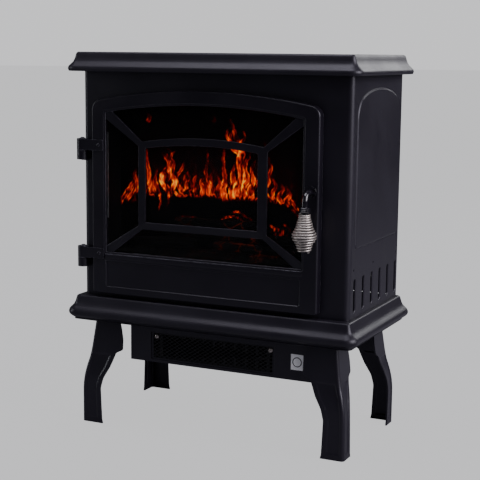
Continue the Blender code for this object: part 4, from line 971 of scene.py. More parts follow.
def make_front_panel():
    side = CASING_HALF_WIDTH - CASING_CORNER
    border = [at_height(rectangle(-side, side, CASING_LOW, CASING_HIGH), 0.0)]
    rim = ((0.0, 0.0), (0.0004, -0.0001), (0.0007, -0.0005), (0.0008, -0.0016))

    def opening(inset):
        left, right, bottom, top = CASING_OPENING
        return rectangle(left + inset - 0.0008, right - inset + 0.0008, bottom + inset - 0.0008,
                         top - inset + 0.0008, 0.0040 - inset)

    def latch(_):
        left, right, bottom, top = LATCH_SLOT
        return rectangle(left, right, bottom, top, 0.0030)

    features = [press(opening, rim, False), press(latch, ((0, 0),), False)]
    flat = pressed_sheet(border, features)
    strips = [flat]
    for sign in (-1, 1):
        tail = (CASING_HALF_WIDTH, -FRONT_RETURN)
        strip = corner_strip(side, CASING_CORNER, tail, CASING_LOW, CASING_HIGH)
        strip.transform(Matrix.Diagonal((sign, 1, 1, 1)))
        strips.append(strip)
    shape = joined(*strips)
    bmesh.ops.remove_doubles(shape, verts=shape.verts, dist=MERGE)
    shape = with_modifiers(oriented(shape, (0, 0, 1)), wall(SHEET))
    shape.transform(front_view(depth(-CASING_HALF_DEPTH)))
    finish_piece("front_sheet", mesh_from(shape, "front"), "casing_coat", CABINET,
                 ["front_panel"])


def side_features():
    """The pressed arch, the six air slots and the small fixing holes of a side panel."""
    raise_by = bpy.context.scene.stove_casing.arch_raise
    arch_steps = (
        (0.0, 0.0), (0.0006, -0.0003), (0.0012, -0.0006), (0.0018, -0.0005), (0.0024, 0.0),
        (0.0030, 0.6 * raise_by), (0.0038, raise_by), (0.0050, raise_by),
    )

    def arch(inset):
        left, right, bottom, spring, apex = grow(SIDE_ARCH, 0.0012 - inset)
        corner = SIDE_ARCH_CORNER + 0.0012 - inset
        return arched(depth(left), depth(right), bottom, spring, apex, corner, 0.0060 - inset / 2, skip=6)

    features = [press(arch, arch_steps, True)]
    slot_steps = ((0.0, 0.0), (0.0008, -0.0002), (0.0014, -0.0006), (0.0019, -0.0012), (0.0021, -0.0022))
    for index in range(SIDE_SLOTS):
        middle = depth(SIDE_SLOT_FIRST + index * SIDE_SLOT_PITCH)

        def slot(inset, middle=middle):
            half = SIDE_SLOT_WIDTH / 2 + 0.0021 - inset
            low = SIDE_SLOT_HEIGHTS[0] - 0.0021 + inset
            high = SIDE_SLOT_HEIGHTS[1] + 0.0021 - inset
            return rectangle(middle - half, middle + half, low, high, half - 0.0001, 8)

        features.append(press(slot, slot_steps, False))
    hole_steps = ((0.0, 0.0), (0.0003, -0.0002), (0.0004, -0.0016))
    for y, z in SIDE_HOLES:

        def hole(inset, y=y, z=z):
            return circle(depth(y), z, 0.0020 - inset, 16)

        features.append(press(hole, hole_steps, False))
    return features


def make_side_panels():
    front = depth(-CASING_HALF_DEPTH) + FRONT_RETURN + GAP
    rear = depth(CASING_HALF_DEPTH) - CASING_CORNER
    border = [at_height(rectangle(front, rear, CASING_LOW, CASING_HIGH), 0.0)]
    flat = pressed_sheet(border, side_features())
    tail = (rear + CASING_CORNER, -REAR_RETURN)
    strip = corner_strip(rear, CASING_CORNER, tail, CASING_LOW, CASING_HIGH)
    shape = joined(flat, strip)
    bmesh.ops.remove_doubles(shape, verts=shape.verts, dist=MERGE)
    shape = with_modifiers(oriented(shape, (0, 0, 1)), wall(SHEET))
    shape.transform(side_view(CASING_HALF_WIDTH))
    mesh = mesh_from(shape, "side")
    other = mesh.copy()
    other.transform(Matrix.Diagonal((-1, 1, 1, 1)))
    other.flip_normals()
    shade(other)
    finish_piece("right_side_sheet", mesh, "casing_coat", CABINET, ["right_side_panel"])
    finish_piece("left_side_sheet", other, "casing_coat", CABINET, ["left_side_panel"])


def make_rear_panel():
    half = CASING_HALF_WIDTH - REAR_RETURN - GAP
    rim = ((0.0, 0.0), (0.0005, -0.0002), (0.0008, -0.0007), (0.0009, -0.0016))
    features = []
    for middle_z in REAR_VENT_HEIGHTS:
        for index in range(REAR_VENTS):
            x = -REAR_VENT_MIDDLE - (index - (REAR_VENTS - 1) / 2) * REAR_VENT_PITCH

            def vent(inset, x=x, middle_z=middle_z):
                width = REAR_VENT_SIZE[0] / 2 + 0.0009 - inset
                height = REAR_VENT_SIZE[1] / 2 + 0.0009 - inset
                return rectangle(x - width, x + width, middle_z - height, middle_z + height, width - 0.0001)

            features.append(press(vent, rim, False))
    left, right, bottom, top = CONTROL_OPENING
    features.append(([at_height(rectangle(-right, -left, bottom, top, 0.0020), 0.0)], False))
    x, z, radius = GLAND_HOLE
    features.append(([at_height(circle(-x, z, radius), 0.0)], False))
    sheet = pressed_sheet([at_height(rectangle(-half, half, CASING_LOW, CASING_HIGH), 0.0)], features)
    shape = with_modifiers(oriented(sheet, (0, 0, 1)), wall(SHEET))
    shape.transform(rear_view(depth(CASING_HALF_DEPTH)))
    finish_piece("rear_sheet", mesh_from(shape, "rear"), "casing_coat", CABINET,
                 ["rear_panel"])


def make_pans():
    top = moulded_pan(TOP_RIM, TOP_EDGE)
    finish_piece("top_moulding", mesh_from(top, "top"), "casing_coat", CABINET, ["top_plate"])
    left, right, front, rear = AIR_INTAKE
    intake = rectangle(left, right, depth(front), depth(rear))
    base = moulded_pan(BASE_RIM, BASE_EDGE, [intake])
    finish_piece("base_moulding", mesh_from(base, "base"), "casing_coat", CABINET,
                 ["base_plate"])


# ---------------------------------------------------------------- legs

LEG_FOOT_CORNER = (0.2017, 0.1020)
LEG_TOP_CORNER = (0.1850, 0.0910)
LEG_ROWS = (
    (0.0000, 0.00, 0.0335, 0.0265), (0.0060, 0.00, 0.0320, 0.0250), (0.0520, 0.00, 0.0300, 0.0225),
    (0.0670, 0.08, 0.0326, 0.0240), (0.0830, 0.28, 0.0385, 0.0285), (0.0950, 0.50, 0.0400, 0.0320),
    (0.1050, 0.61, 0.0420, 0.0345), (0.1100, 0.66, 0.0520, 0.0430), (0.1250, 0.78, 0.0500, 0.0430),
    (0.1400, 0.90, 0.0450, 0.0400), (0.1519, 1.00, 0.0400, 0.0370),
)
LEG_RADIUS = 0.0045
LEG_WALL = 0.0022
LEG_FLANGE = 0.0300
LEG_LEVELS = 120
LEG_BORDER = 0.0072
LEG_FIELD = (0.0080, 0.1010)


def smoothed(values, reach):
    """Values averaged over a window of levels, with their ends kept."""
    padded = np.concatenate([np.full(reach, values[0]), values, np.full(reach, values[-1])])
    weights = np.hanning(2 * reach + 3)[1:-1]
    return np.convolve(padded, weights / weights.sum(), mode="valid")


def ease(value, low, high):
    share = min(max((value - low) / (high - low), 0.0), 1.0)
    return share * share * (3 - 2 * share)


def leg_table():
    """Height, how far the corner has gone in and the two face widths, at each level of a leg."""
    heights = np.linspace(0.0, LEG_ROWS[-1][0], LEG_LEVELS)
    rows = np.array(LEG_ROWS)
    inward, front, side = (np.interp(heights, rows[:, 0], rows[:, column]) for column in (1, 2, 3))
    return np.stack([heights, smoothed(inward, 7), smoothed(front, 1), smoothed(side, 1)], axis=1)


def leg_section(height, inward, front_width, side_width, press_depth):
    """One level of a leg's bent sheet, front face, rounded corner, side face, with its pressed fields."""
    corner = Vector(LEG_FOOT_CORNER).lerp(Vector(LEG_TOP_CORNER), inward)
    upright = ease(height, LEG_FIELD[0], LEG_FIELD[0] + 0.0014) * (
        1 - ease(height, LEG_FIELD[1], LEG_FIELD[1] + 0.0014))
    points = []
    front_flat = front_width - LEG_RADIUS
    for step in range(27):
        s = front_flat * step / 26
        sink = ease(s, LEG_BORDER - 0.0007, LEG_BORDER + 0.0007) * ease(front_flat - s, 0.0012, 0.0026)
        points.append((corner.x - front_width + s, corner.y - press_depth * sink * upright))
    for step in range(1, 8):
        angle = pi / 2 * (1 - step / 8)
        points.append((corner.x - LEG_RADIUS * (1 - cos(angle)), corner.y - LEG_RADIUS * (1 - sin(angle))))
    side_flat = side_width - LEG_RADIUS
    for step in range(21):
        s = side_flat * (1 - step / 20)
        sink = ease(s, LEG_BORDER - 0.0017, LEG_BORDER - 0.0003) * ease(side_flat - s, 0.0012, 0.0026)
        points.append((corner.x - press_depth * sink * upright, corner.y - side_width + s))
    return points


def make_leg(name, node, signs):
    press_depth = bpy.context.scene.stove_casing.leg_press
    rows = []
    for height, inward, front, side in leg_table():
        section = leg_section(height, inward, front, side, press_depth)
        rows.append([(signs[0] * x, depth(BASE_RIM[2]) + signs[1] * y, height) for x, y in section])
    shape = oriented(loft(rows, closed=False), (0, signs[1], 0))
    shape = with_modifiers(shape, wall(LEG_WALL))
    near = [value - LEG_WALL * 0.5 for value in LEG_TOP_CORNER]
    far = [value - LEG_FLANGE for value in LEG_TOP_CORNER]
    xs = sorted((signs[0] * near[0], signs[0] * far[0]))
    ys = sorted((depth(BASE_RIM[2]) + signs[1] * near[1], depth(BASE_RIM[2]) + signs[1] * far[1]))
    top = LEG_ROWS[-1][0] - 0.0001
    hole = circle((xs[0] + xs[1]) / 2, (ys[0] + ys[1]) / 2, 0.0032)
    flange = plate([rectangle(*xs, *ys, 0.0015), hole], top - LEG_WALL, top, Matrix.Identity(4))
    finish_piece(name, mesh_from(joined(shape, flange), name), "leg_coat", CABINET, [node])


# ---------------------------------------------------------------- fasteners

SCREW_DOME = (
    (0.0, 1.0), (0.12, 1.0), (0.35, 0.96), (0.62, 0.85), (0.82, 0.68), (0.93, 0.50), (0.985, 0.34),
)
RIVET_DOME = ((0.0, 1.0), (0.5, 0.92), (0.8, 0.68), (0.95, 0.35), (1.0, 0.0), (0.0, 0.0))
SIDE_SCREW_X = (-0.1835, 0.1835)
SIDE_SCREW_HEIGHTS = (0.1960, 0.3050, 0.3800, 0.4960)
EDGE_SCREW_X = (-0.0550, 0.0900)
EDGE_SCREW_HEIGHTS = (0.4960, 0.1925)


def screw_head(radius, rise):
    """Domed head with a cross recess, facing +Z from its seat."""
    shape = bmesh.new()
    steps = 32
    rings = [[(*spoke, rise * lift) for spoke in circle(0, 0, radius * share, steps)]
             for lift, share in SCREW_DOME]
    arm, waist, sink = radius * 0.52, radius * 0.13, rise * 0.45
    for scale, height in ((1.0, rise), (0.9, rise), (0.62, sink)):
        star = []
        for spot in range(steps):
            angle = 2 * pi * spot / steps
            c, s = abs(cos(angle)), abs(sin(angle))
            reach = min(arm, waist / max(min(c, s), 0.06)) if height < rise or scale < 1 else radius * 0.42
            reach = min(reach, arm) * (scale if height < rise else 1.0)
            star.append((reach * cos(angle), reach * sin(angle), height))
        rings.append(star)
    add_loft(shape, rings, cap_first=True, cap_last=True)
    bmesh.ops.recalc_face_normals(shape, faces=shape.faces)
    return shape


def make_fasteners():
    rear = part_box("rear_panel")[1].y
    places = []
    for z in SIDE_SCREW_HEIGHTS:
        for x in SIDE_SCREW_X:
            places.append(((x, rear, z), (0, 1, 0), x * 31 + z * 7))
    for x in EDGE_SCREW_X:
        for z, spin in zip(EDGE_SCREW_HEIGHTS, (19, 23)):
            places.append(((x, rear, z), (0, 1, 0), x * spin))
    place_copies("rear_screws", screw_head(0.0034, 0.0019), places, "bright_wire", CABINET)
    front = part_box("outlet_grille")[0].y
    places = []
    for node, angle in (("outlet_screw_left", 0.5), ("outlet_screw_right", 1.1)):
        middle = middle_of(node)
        places.append(((middle.x, front, middle.z), (0, -1, 0), angle))
    place_copies("outlet_screws", screw_head(0.0033, 0.0022), places, "bright_wire", CABINET,
                 ["outlet_screw_left", "outlet_screw_right"])
    places = []
    for level in ("lower", "upper"):
        low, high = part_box(f"hinge_strap_{level}")
        places.append(((high.x - 0.0075, low.y + 0.0056, (low.z + high.z) / 2), (0, -1, 0), low.z * 40))
    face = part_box("door_frame")[0].y - 0.0022
    places = [((x, face + 0.0002, z), facing, spin) for (x, _, z), facing, spin in places]
    place_copies("strap_rivets", rivet_head(0.0027, 0.0009), places, "door_coat", DOOR)


def rivet_head(radius, rise):
    profile = [(radius * share, rise * lift) for share, lift in RIVET_DOME]
    return turned(profile, Matrix.Identity(4), 20)


# ---------------------------------------------------------------- heater under the base

LABEL = (0.1185, 0.1365, 0.1120, 0.1335)
LABEL_THICKNESS = 0.0003
LABEL_RING = (0.1275, 0.1228)
LABEL_RING_RADII = (0.0068, 0.0056)
LABEL_RING_TOP = 0.00045
FIN_THICKNESS = 0.0003
FIN_HEIGHT = 0.0132
FIN_COLUMNS = 84
FIN_ROWS = 2
FIN_ROW_PITCH = 0.0190


def lattice_link(half_x, half_z, strand, thickness):
    """One diamond of expanded metal, its four strands slightly twisted."""
    corners = [(half_x, 0.0), (0.0, half_z), (-half_x, 0.0), (0.0, -half_z)]
    rings = []
    for index, (x, z) in enumerate(corners):
        reach = hypot(x, z)
        inner = 1 - strand / reach
        lean = thickness * 0.35 * (1 if index % 2 else -1)
        rings.append([
            (x, -thickness / 2 + lean, z), (x, thickness / 2 + lean, z),
            (x * inner, thickness / 2 - lean, z * inner), (x * inner, -thickness / 2 - lean, z * inner),
        ])
    rings.append(rings[0])
    shape = loft(rings)
    bmesh.ops.remove_doubles(shape, verts=shape.verts, dist=0.000001)
    bmesh.ops.recalc_face_normals(shape, faces=shape.faces)
    return shape


def make_outlet():
    low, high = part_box("outlet_grille")
    heater = bpy.context.scene.stove_heater
    pitch_x, pitch_z = heater.mesh_pitch, heater.mesh_pitch * 0.65
    columns = int((high.x - low.x - 0.0030) / pitch_x)
    rows = int((high.z - low.z - 0.0030) / (pitch_z / 2)) - 1
    start_x = (low.x + high.x) / 2 - (columns - 1) / 2 * pitch_x - pitch_x / 4
    start_z = (low.z + high.z) / 2 - (rows - 1) / 4 * pitch_z
    values = {
        "Columns": columns, "Rows": rows, "Column Pitch": pitch_x, "Row Pitch": pitch_z / 2,
        "Shift": pitch_x / 2, "Start": (start_x, (low.y + high.y) / 2, start_z),
    }
    link = lattice_link(pitch_x / 2 + 0.0002, pitch_z / 2 + 0.0002, 0.0009, 0.0007)
    rows_of("outlet_mesh", link, values, "black_mesh", CABINET, ["outlet_grille"])
    window = rectangle(low.x + 0.0055, high.x - 0.0055, low.z + 0.0045, high.z - 0.0045, 0.0010)
    border = plate([rectangle(low.x, high.x, low.z, high.z, 0.0010), window], 0.0, 0.0008,
                   front_view(high.y))
    finish_piece("outlet_border", mesh_from(border, "border"), "casing_coat", CABINET)


def make_housing():
    soften("heater_housing", 0.0012, "heater_case", "casing_coat", CABINET, 3)
    face = front_view(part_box("heater_housing")[0].y - 0.00005)
    label = plate([rectangle(*LABEL, 0.0008)], 0.0, LABEL_THICKNESS, face)
    rings = [circle(*LABEL_RING, radius) for radius in LABEL_RING_RADII]
    ring = plate(rings, LABEL_THICKNESS, LABEL_RING_TOP, face)
    finish_piece("blank_label", mesh_from(label, "label"), "label_white", CABINET)
    finish_piece("blank_label_ring", mesh_from(ring, "ring"), "black_plastic", CABINET)


def make_element():
    """Heating element: a frame with rows of thin fins."""
    low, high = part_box("ptc_heater")
    soften("ptc_heater", 0.0003, "element_frame", "fin_metal", CABINET, 1)
    fin = bmesh.new()
    size = (FIN_THICKNESS, high.y - low.y - 0.0030, FIN_HEIGHT, 1)
    bmesh.ops.create_cube(fin, size=1.0, matrix=Matrix.Diagonal(size))
    pitch = (high.x - low.x - 0.0100) / (FIN_COLUMNS - 1)
    values = {
        "Columns": FIN_COLUMNS, "Rows": FIN_ROWS, "Column Pitch": pitch, "Row Pitch": FIN_ROW_PITCH,
        "Shift": 0.0,
        "Start": (low.x + 0.0050, (low.y + high.y) / 2, low.z + 0.0110),
    }
    rows_of("element_fins", fin, values, "fin_metal", CABINET)


# ---------------------------------------------------------------- door

DOOR_OUTLINE = (-0.1790, 0.1615, 0.1930, 0.4635, 0.4800)
DOOR_FRONT = -0.1160
DOOR_THICKNESS = 0.0127
DOOR_CORNER = 0.0150
WINDOW = (-0.1570, 0.1386, 0.2530, 0.4473, 0.4602)
LOWER_PANEL = (-0.1580, 0.1390, 0.2020, 0.2415)
SILL = (-0.1600, 0.1410, 0.2436, 0.2502)
GRILLE_OUTER = (-0.1055, 0.0882, 0.2880, 0.4084, 0.4168)
GRILLE_INNER = (-0.0944, 0.0743, 0.2984, 0.4005, 0.4066)
GRILLE_DIAGONAL = 0.0105
GRILLE_RIM = 0.0030
HANDLE_X = 0.1505
HANDLE_Z = 0.3550
HANDLE_Y = -0.13505


def make_door_frame():
    def outer(inset):
        return arched(*grow(DOOR_OUTLINE, -inset), radius=DOOR_CORNER - inset, foot=0.0042 - inset, skip=2)

    edge_steps = ((0.0026, 0.0), (0.0017, -0.0002), (0.0009, -0.0007), (0.0003, -0.0015), (0.0, -0.0026),
                  (0.0, -DOOR_THICKNESS))
    border, _ = press(outer, edge_steps, False)

    def window(inset):
        return arched(*grow(WINDOW, 0.0036 - inset), radius=0.0045 - inset, foot=0.0045 - inset, skip=1)

    window_steps = ((0.0, 0.0), (0.0005, -0.0002), (0.0010, -0.0007), (0.0024, -0.0008), (0.0030, -0.0010),
                    (0.0034, -0.0013), (0.0036, -0.0018))

    def panel(inset):
        left, right, bottom, top = LOWER_PANEL
        return rectangle(left + inset, right - inset, bottom + inset, top - inset, 0.0034 - inset / 2, 5)

    panel_steps = ((0.0, 0.0), (0.0005, 0.0003), (0.0010, 0.0004), (0.0015, 0.0002), (0.0021, -0.0006),
                   (0.0027, -0.0010), (0.0036, -0.0010))

    def sill(inset):
        left, right, bottom, top = SILL
        return rectangle(left + inset, right - inset, bottom + inset, top - inset, 0.0024 - inset / 2, 5)

    sill_steps = ((0.0, 0.0), (0.0004, 0.0003), (0.0009, 0.0005), (0.0016, 0.0006))
    features = [
        press(window, window_steps, False), press(panel, panel_steps, True), press(sill, sill_steps, True),
        press(lambda inset: circle(HANDLE_X, HANDLE_Z, 0.0067), ((0.0, 0.0),), False),
    ]
    shape = with_modifiers(oriented(pressed_sheet(border, features), (0, 0, 1)), wall(0.0010))
    shape.transform(front_view(depth(DOOR_FRONT)))
    finish_piece("door_shell", mesh_from(shape, "door"), "door_coat", DOOR, ["door_frame"])


def mix(first, second, share):
    return first + (second - first) * share


def under_arch(shape, first, last, steps=20):
    """Points under an arched shape's top edge, between two places along it."""
    left, right, _, spring, apex = shape
    half = (right - left) / 2
    rise = apex - spring
    radius = (half * half + rise * rise) / (2 * rise)
    xs = [mix(first, last, step / steps) for step in range(steps + 1)]
    return [(x, apex - radius + (radius ** 2 - (x - (left + right) / 2) ** 2) ** 0.5) for x in xs]


def make_lattice():
    """Window lattice: a framed arched rectangle held by four diagonal bars."""
    left, right, bottom, spring, _ = WINDOW
    inner_left, inner_right, inner_bottom, inner_spring, _ = GRILLE_OUTER
    half = GRILLE_DIAGONAL / 2
    reach = 0.80 * half
    side_left = [(left, bottom + reach * 2), (inner_left, inner_bottom + half),
                 (inner_left, inner_spring - half), (left, spring - reach * 2)]
    side_right = [(inner_right, inner_bottom + half), (right, bottom + reach * 2),
                  (right, spring - reach * 2), (inner_right, inner_spring - half)]
    foot = [(left + half * 2, bottom), (right - half * 2, bottom),
            (inner_right - half, inner_bottom), (inner_left + half, inner_bottom)]
    head = under_arch(GRILLE_OUTER, inner_left + half, inner_right - half)
    head += under_arch(WINDOW, right - half * 2, left + half * 2)
    outlines = [arched(*grow(WINDOW, GRILLE_RIM)), arched(*GRILLE_INNER), side_left, side_right, foot, head]
    low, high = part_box("door_grille")
    shape = plate(outlines, 0.0, high.y - low.y, front_view(high.y))
    bmesh.ops.dissolve_limit(shape, angle_limit=radians(0.3), verts=shape.verts, edges=shape.edges)
    shape = with_modifiers(shape, soft_edges(0.0011, 3, 40))
    finish_piece("window_lattice", mesh_from(shape, "lattice"), "door_coat", DOOR,
                 ["door_grille"])


def make_hinges():
    for level in ("lower", "upper"):
        soften(f"hinge_strap_{level}", 0.0006, f"strap_{level}", "door_coat", DOOR)
        soften(f"hinge_leaf_{level}", 0.0006, f"leaf_{level}", "door_coat", CABINET)
        low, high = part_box(f"hinge_pin_{level}")
        x, y = (low.x + high.x) / 2, (low.y + high.y) / 2
        crown = high.z - 0.0022
        pin = [(0.0, high.z), (0.0012, high.z - 0.0001), (0.0024, high.z - 0.0005),
               (0.0034, high.z - 0.0011), (0.0040, crown + 0.0003), (0.0040, crown), (0.0022, crown),
               (0.0022, low.z + 0.0004), (0.0018, low.z), (0.0, low.z)]
        shape = turned(pin, Matrix.Translation((x, y, 0)), 32)
        finish_piece(f"pin_{level}", mesh_from(shape, "pin"), "door_coat", CABINET,
                     [f"hinge_pin_{level}"])


def make_clips():
    for side in ("left", "bottom"):
        soften(f"glass_clip_{side}", 0.0003, f"clip_{side}", "zinc_sheet", DOOR)


# ---------------------------------------------------------------- handle

GRIP_OUTSIDE = (
    (0.2780, 0.0069), (0.2835, 0.0100), (0.2893, 0.0115), (0.2942, 0.0151), (0.2990, 0.01625),
    (0.3040, 0.0146), (0.3100, 0.0117), (0.3165, 0.0103), (0.3223, 0.0085), (0.3297, 0.0078),
)
ROD_RADIUS = 0.0040
ROD_BEND = 0.0120


def tube(points, radius, steps=24):
    """A round bar along a line in a plane of constant X, with rounded ends."""
    points = [Vector(point) for point in points]
    side = Vector((1, 0, 0))
    rings = []
    first, last = points[1] - points[0], points[-1] - points[-2]
    stations = [(points[0], first, shift, share) for shift, share in ((-0.0008, 0.80), (0.0, 1.0))]
    for before, point, after in zip(points, points[1:], points[2:]):
        stations.append((point, after - before, 0.0, 1.0))
    for shift, share in ((0.0, 1.0), (0.0012, 0.86), (0.0018, 0.5)):
        stations.append((points[-1], last, shift, share))
    for point, heading, shift, share in stations:
        heading = heading.normalized()
        upward = heading.cross(side).normalized()
        centre = point + heading * shift
        ring = []
        for spot in range(steps):
            angle = 2 * pi * spot / steps
            ring.append(centre + (cos(angle) * side + sin(angle) * upward) * radius * share)
        rings.append(ring)
    shape = loft(rings, True, True)
    bmesh.ops.recalc_face_normals(shape, faces=shape.faces)
    return shape


def make_rod():
    low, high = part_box("handle_rod")
    front = depth(HANDLE_Y)
    points = [(HANDLE_X, high.y - 0.0009, HANDLE_Z), (HANDLE_X, (high.y + front) / 2, HANDLE_Z)]
    for step in range(17):
        angle = pi / 2 * step / 16
        y = front + ROD_BEND - ROD_BEND * sin(angle)
        z = HANDLE_Z - ROD_BEND + ROD_BEND * cos(angle)
        points.append((HANDLE_X, y, z))
    points.append((HANDLE_X, front, low.z + 0.0020))
    finish_piece("bent_rod", mesh_from(tube(points, ROD_RADIUS), "rod"), "rod_gloss", HANDLE,
                 ["handle_rod"])
    low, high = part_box("handle_ferrule")
    bore = ROD_RADIUS + 0.0005
    profile = [(bore, high.z), (0.0058, high.z), (0.0066, high.z - 0.0003)]
    for ring in range(3):
        crown = high.z - 0.0012 - ring * 0.0021
        profile += [(0.0074, crown + 0.0006), (0.0078, crown), (0.0074, crown - 0.0006),
                    (0.0066, crown - 0.0010)]
    profile += [(0.0066, low.z + 0.0002), (0.0062, low.z), (bore, low.z)]
    collar = turned(profile, Matrix.Translation((HANDLE_X, front, 0)), 48, closed=True)
    finish_piece("ringed_ferrule", mesh_from(collar, "ferrule"), "rod_gloss", HANDLE,
                 ["handle_ferrule"])
    soften("latch_bush", 0.0002, "rod_bush", "rod_gloss", DOOR)
    soften("latch_tongue", 0.0003, "catch_tongue", "zinc_sheet", HANDLE)


def make_grip():
    """Open coil grip: one wire wound over a pear shape, its top turns closed up."""
    grip = bpy.context.scene.stove_grip
    low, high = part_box("spring_grip")
    wire = grip.wire_diameter / 2
    tight = 2.5
    turns = grip.turns
    bottom, top = low.z + wire, high.z - wire
    tight_share = tight / turns
    tight_rise = tight * (2 * wire + 0.0001) / (top - bottom)
    rises = [(0.0, 0.0), (1 - tight_share, 1 - tight_rise), (1.0, 1.0)]
    widest = max(radius for _, radius in GRIP_OUTSIDE) - wire
    radii = []
    for z, radius in GRIP_OUTSIDE:
        rise = min(max((z - bottom) / (top - bottom), 0.0), 1.0)
        if rise <= rises[1][1]:
            along = rise / rises[1][1] * rises[1][0]
        else:
            along = mix(rises[1][0], 1.0, (rise - rises[1][1]) / (1 - rises[1][1]))
        radii.append((along, (radius - wire) / widest))
    tree = coil_tree(radii, rises)
    values = {
        "Turns": turns, "Wire Radius": wire, "Low": bottom, "High": top, "Widest": widest,
        "Steps": int(turns * 36), "Centre": (HANDLE_X, depth(HANDLE_Y), 0.0),
        "Material": MATERIALS["bright_wire"],
    }
    mesh = grow_nodes(tree, values)
    shade(mesh)
    finish_piece("coil_grip", mesh, "bright_wire", HANDLE, ["spring_grip"])


# ---------------------------------------------------------------- fire

# Tongues of flame on the screen: points (x, z) in millimetres up the middle of each, width, strength
TONGUES = (
    (((-166, 314), (-158, 328), (-150, 342), (-144, 353)), 5.0, 0.95),
    (((-154, 318), (-148, 330), (-141, 344), (-138, 356)), 5.5, 0.80),
    (((-141, 330), (-139, 342), (-143, 356), (-138, 366)), 4.5, 0.75),
    (((-112, 331), (-116, 345), (-121, 360), (-122, 380), (-119, 394)), 5.5, 1.00),
    (((-104, 334), (-108, 344), (-110, 354), (-106, 366)), 5.0, 0.75),
    (((-88, 336), (-97, 348), (-96, 360), (-88, 372), (-92, 386), (-99, 392)), 7.5, 1.00),
    (((-84, 338), (-78, 350), (-83, 362), (-80, 376), (-86, 384), (-77, 394)), 6.0, 1.00),
    (((-92, 350), (-86, 362), (-90, 374), (-84, 388), (-90, 398)), 4.0, 0.90),
    (((-96, 342), (-101, 350), (-98, 360), (-90, 366)), 3.5, 1.00),
    (((-60, 335), (-70, 345), (-76, 356), (-68, 368), (-62, 382)), 5.0, 0.95),
    (((-66, 338), (-60, 348), (-62, 358), (-55, 368)), 4.5, 0.70),
    (((-56, 340), (-58, 350), (-54, 358), (-58, 366)), 4.5, 1.00),
    (((-46, 336), (-43, 345), (-46, 354), (-41, 362)), 5.0, 0.75),
    (((-34, 334), (-33, 344), (-36, 352), (-31, 360)), 5.0, 0.80),
    (((-26, 333), (-24, 350), (-29, 366), (-27, 384), (-28, 400)), 4.2, 0.80),
    (((-19, 334), (-17, 346), (-21, 358), (-16, 371)), 4.4, 0.70),
    (((-8, 333), (-10, 343), (-6, 352), (-9, 362)), 4.5, 0.75),
    (((1, 326), (-3, 344), (2, 362), (-1, 382), (1, 402)), 5.5, 0.90),
    (((12, 329), (8, 342), (13, 354), (12, 368), (18, 382)), 6.0, 0.90),
    (((24, 329), (17, 344), (26, 360), (24, 380), (25, 398), (17, 418), (9, 440)), 9.5, 1.00),
    (((27, 392), (14, 402), (8, 414), (12, 426)), 6.0, 0.85),
    (((10, 410), (2, 418), (6, 428)), 3.6, 0.70),
    (((35, 332), (29, 346), (36, 360), (32, 378), (38, 396)), 6.5, 1.00),
    (((44, 332), (39, 346), (45, 358), (42, 374), (46, 388)), 5.5, 0.90),
    (((30, 396), (24, 408), (30, 418), (27, 428)), 4.0, 0.75),
    (((53, 332), (56, 344), (51, 356), (56, 368)), 5.0, 0.85),
    (((64, 333), (60, 346), (67, 360), (70, 376), (65, 392)), 5.5, 0.90),
    (((75, 331), (72, 342), (78, 352), (74, 364)), 5.2, 0.85),
    (((87, 328), (82, 338), (88, 348), (85, 358)), 5.0, 0.80),
    (((98, 326), (93, 334), (98, 342), (95, 350)), 4.5, 0.75),
    (((112, 320), (105, 330), (97, 337), (94, 344)), 3.6, 0.85),
    (((-103, 333), (-101, 322), (-104, 308)), 1.8, 0.75),
    (((-89, 338), (-88, 324), (-91, 311)), 1.8, 0.80),
    (((-80, 338), (-72, 333), (-62, 331), (-52, 334)), 2.2, 0.80),
    (((100, 324), (106, 318), (112, 312)), 2.4, 0.65),
    (((-122, 432), (-119, 440), (-123, 447)), 4.2, 0.42),
    (((-8, 300), (2, 306), (14, 308), (26, 305), (36, 299)), 1.5, 0.70),
    (((8, 312), (20, 314), (32, 310), (43, 303)), 1.3, 0.62),
    (((-4, 304), (6, 299), (18, 297)), 1.1, 0.50),
    (((66, 299), (78, 295), (90, 289), (98, 281)), 1.8, 0.75),
    (((70, 290), (82, 285), (94, 282)), 1.5, 0.60),
    (((-70, 300), (-58, 303), (-44, 302), (-34, 297)), 1.3, 0.50),
    (((88, 302), (98, 296), (104, 288)), 1.3, 0.50),
    (((-20, 436), (-17, 441), (-20, 446)), 2.4, 0.30),
    (((58, 392), (63, 402), (59, 412)), 2.4, 0.40),
)


def noise_field(x, z, size, seed):
    """Smooth noise between 0 and 1, whose lumps are about size across."""
    table = np.random.default_rng(seed).random((256, 256))
    u, v = x / size, z / size
    column, row = np.floor(u).astype(int), np.floor(v).astype(int)
    a, b = u - column, v - row
    a, b = a * a * (3 - 2 * a), b * b * (3 - 2 * b)
    corner = [[table[(column + i) % 256, (row + j) % 256] for j in (0, 1)] for i in (0, 1)]
    left = corner[0][0] * (1 - b) + corner[0][1] * b
    right = corner[1][0] * (1 - b) + corner[1][1] * b
    return left * (1 - a) + right * a


def layered_noise(x, z, size, seed, layers=3):
    total, weight = 0.0, 0.0
    for layer in range(layers):
        share = 0.5 ** layer
        total = total + share * noise_field(x, z, size * share, seed + layer)
        weight += share
    return total / weight


def step_between(value, low, high):
    share = np.clip((value - low) / (high - low), 0.0, 1.0)
    return share * share * (3 - 2 * share)


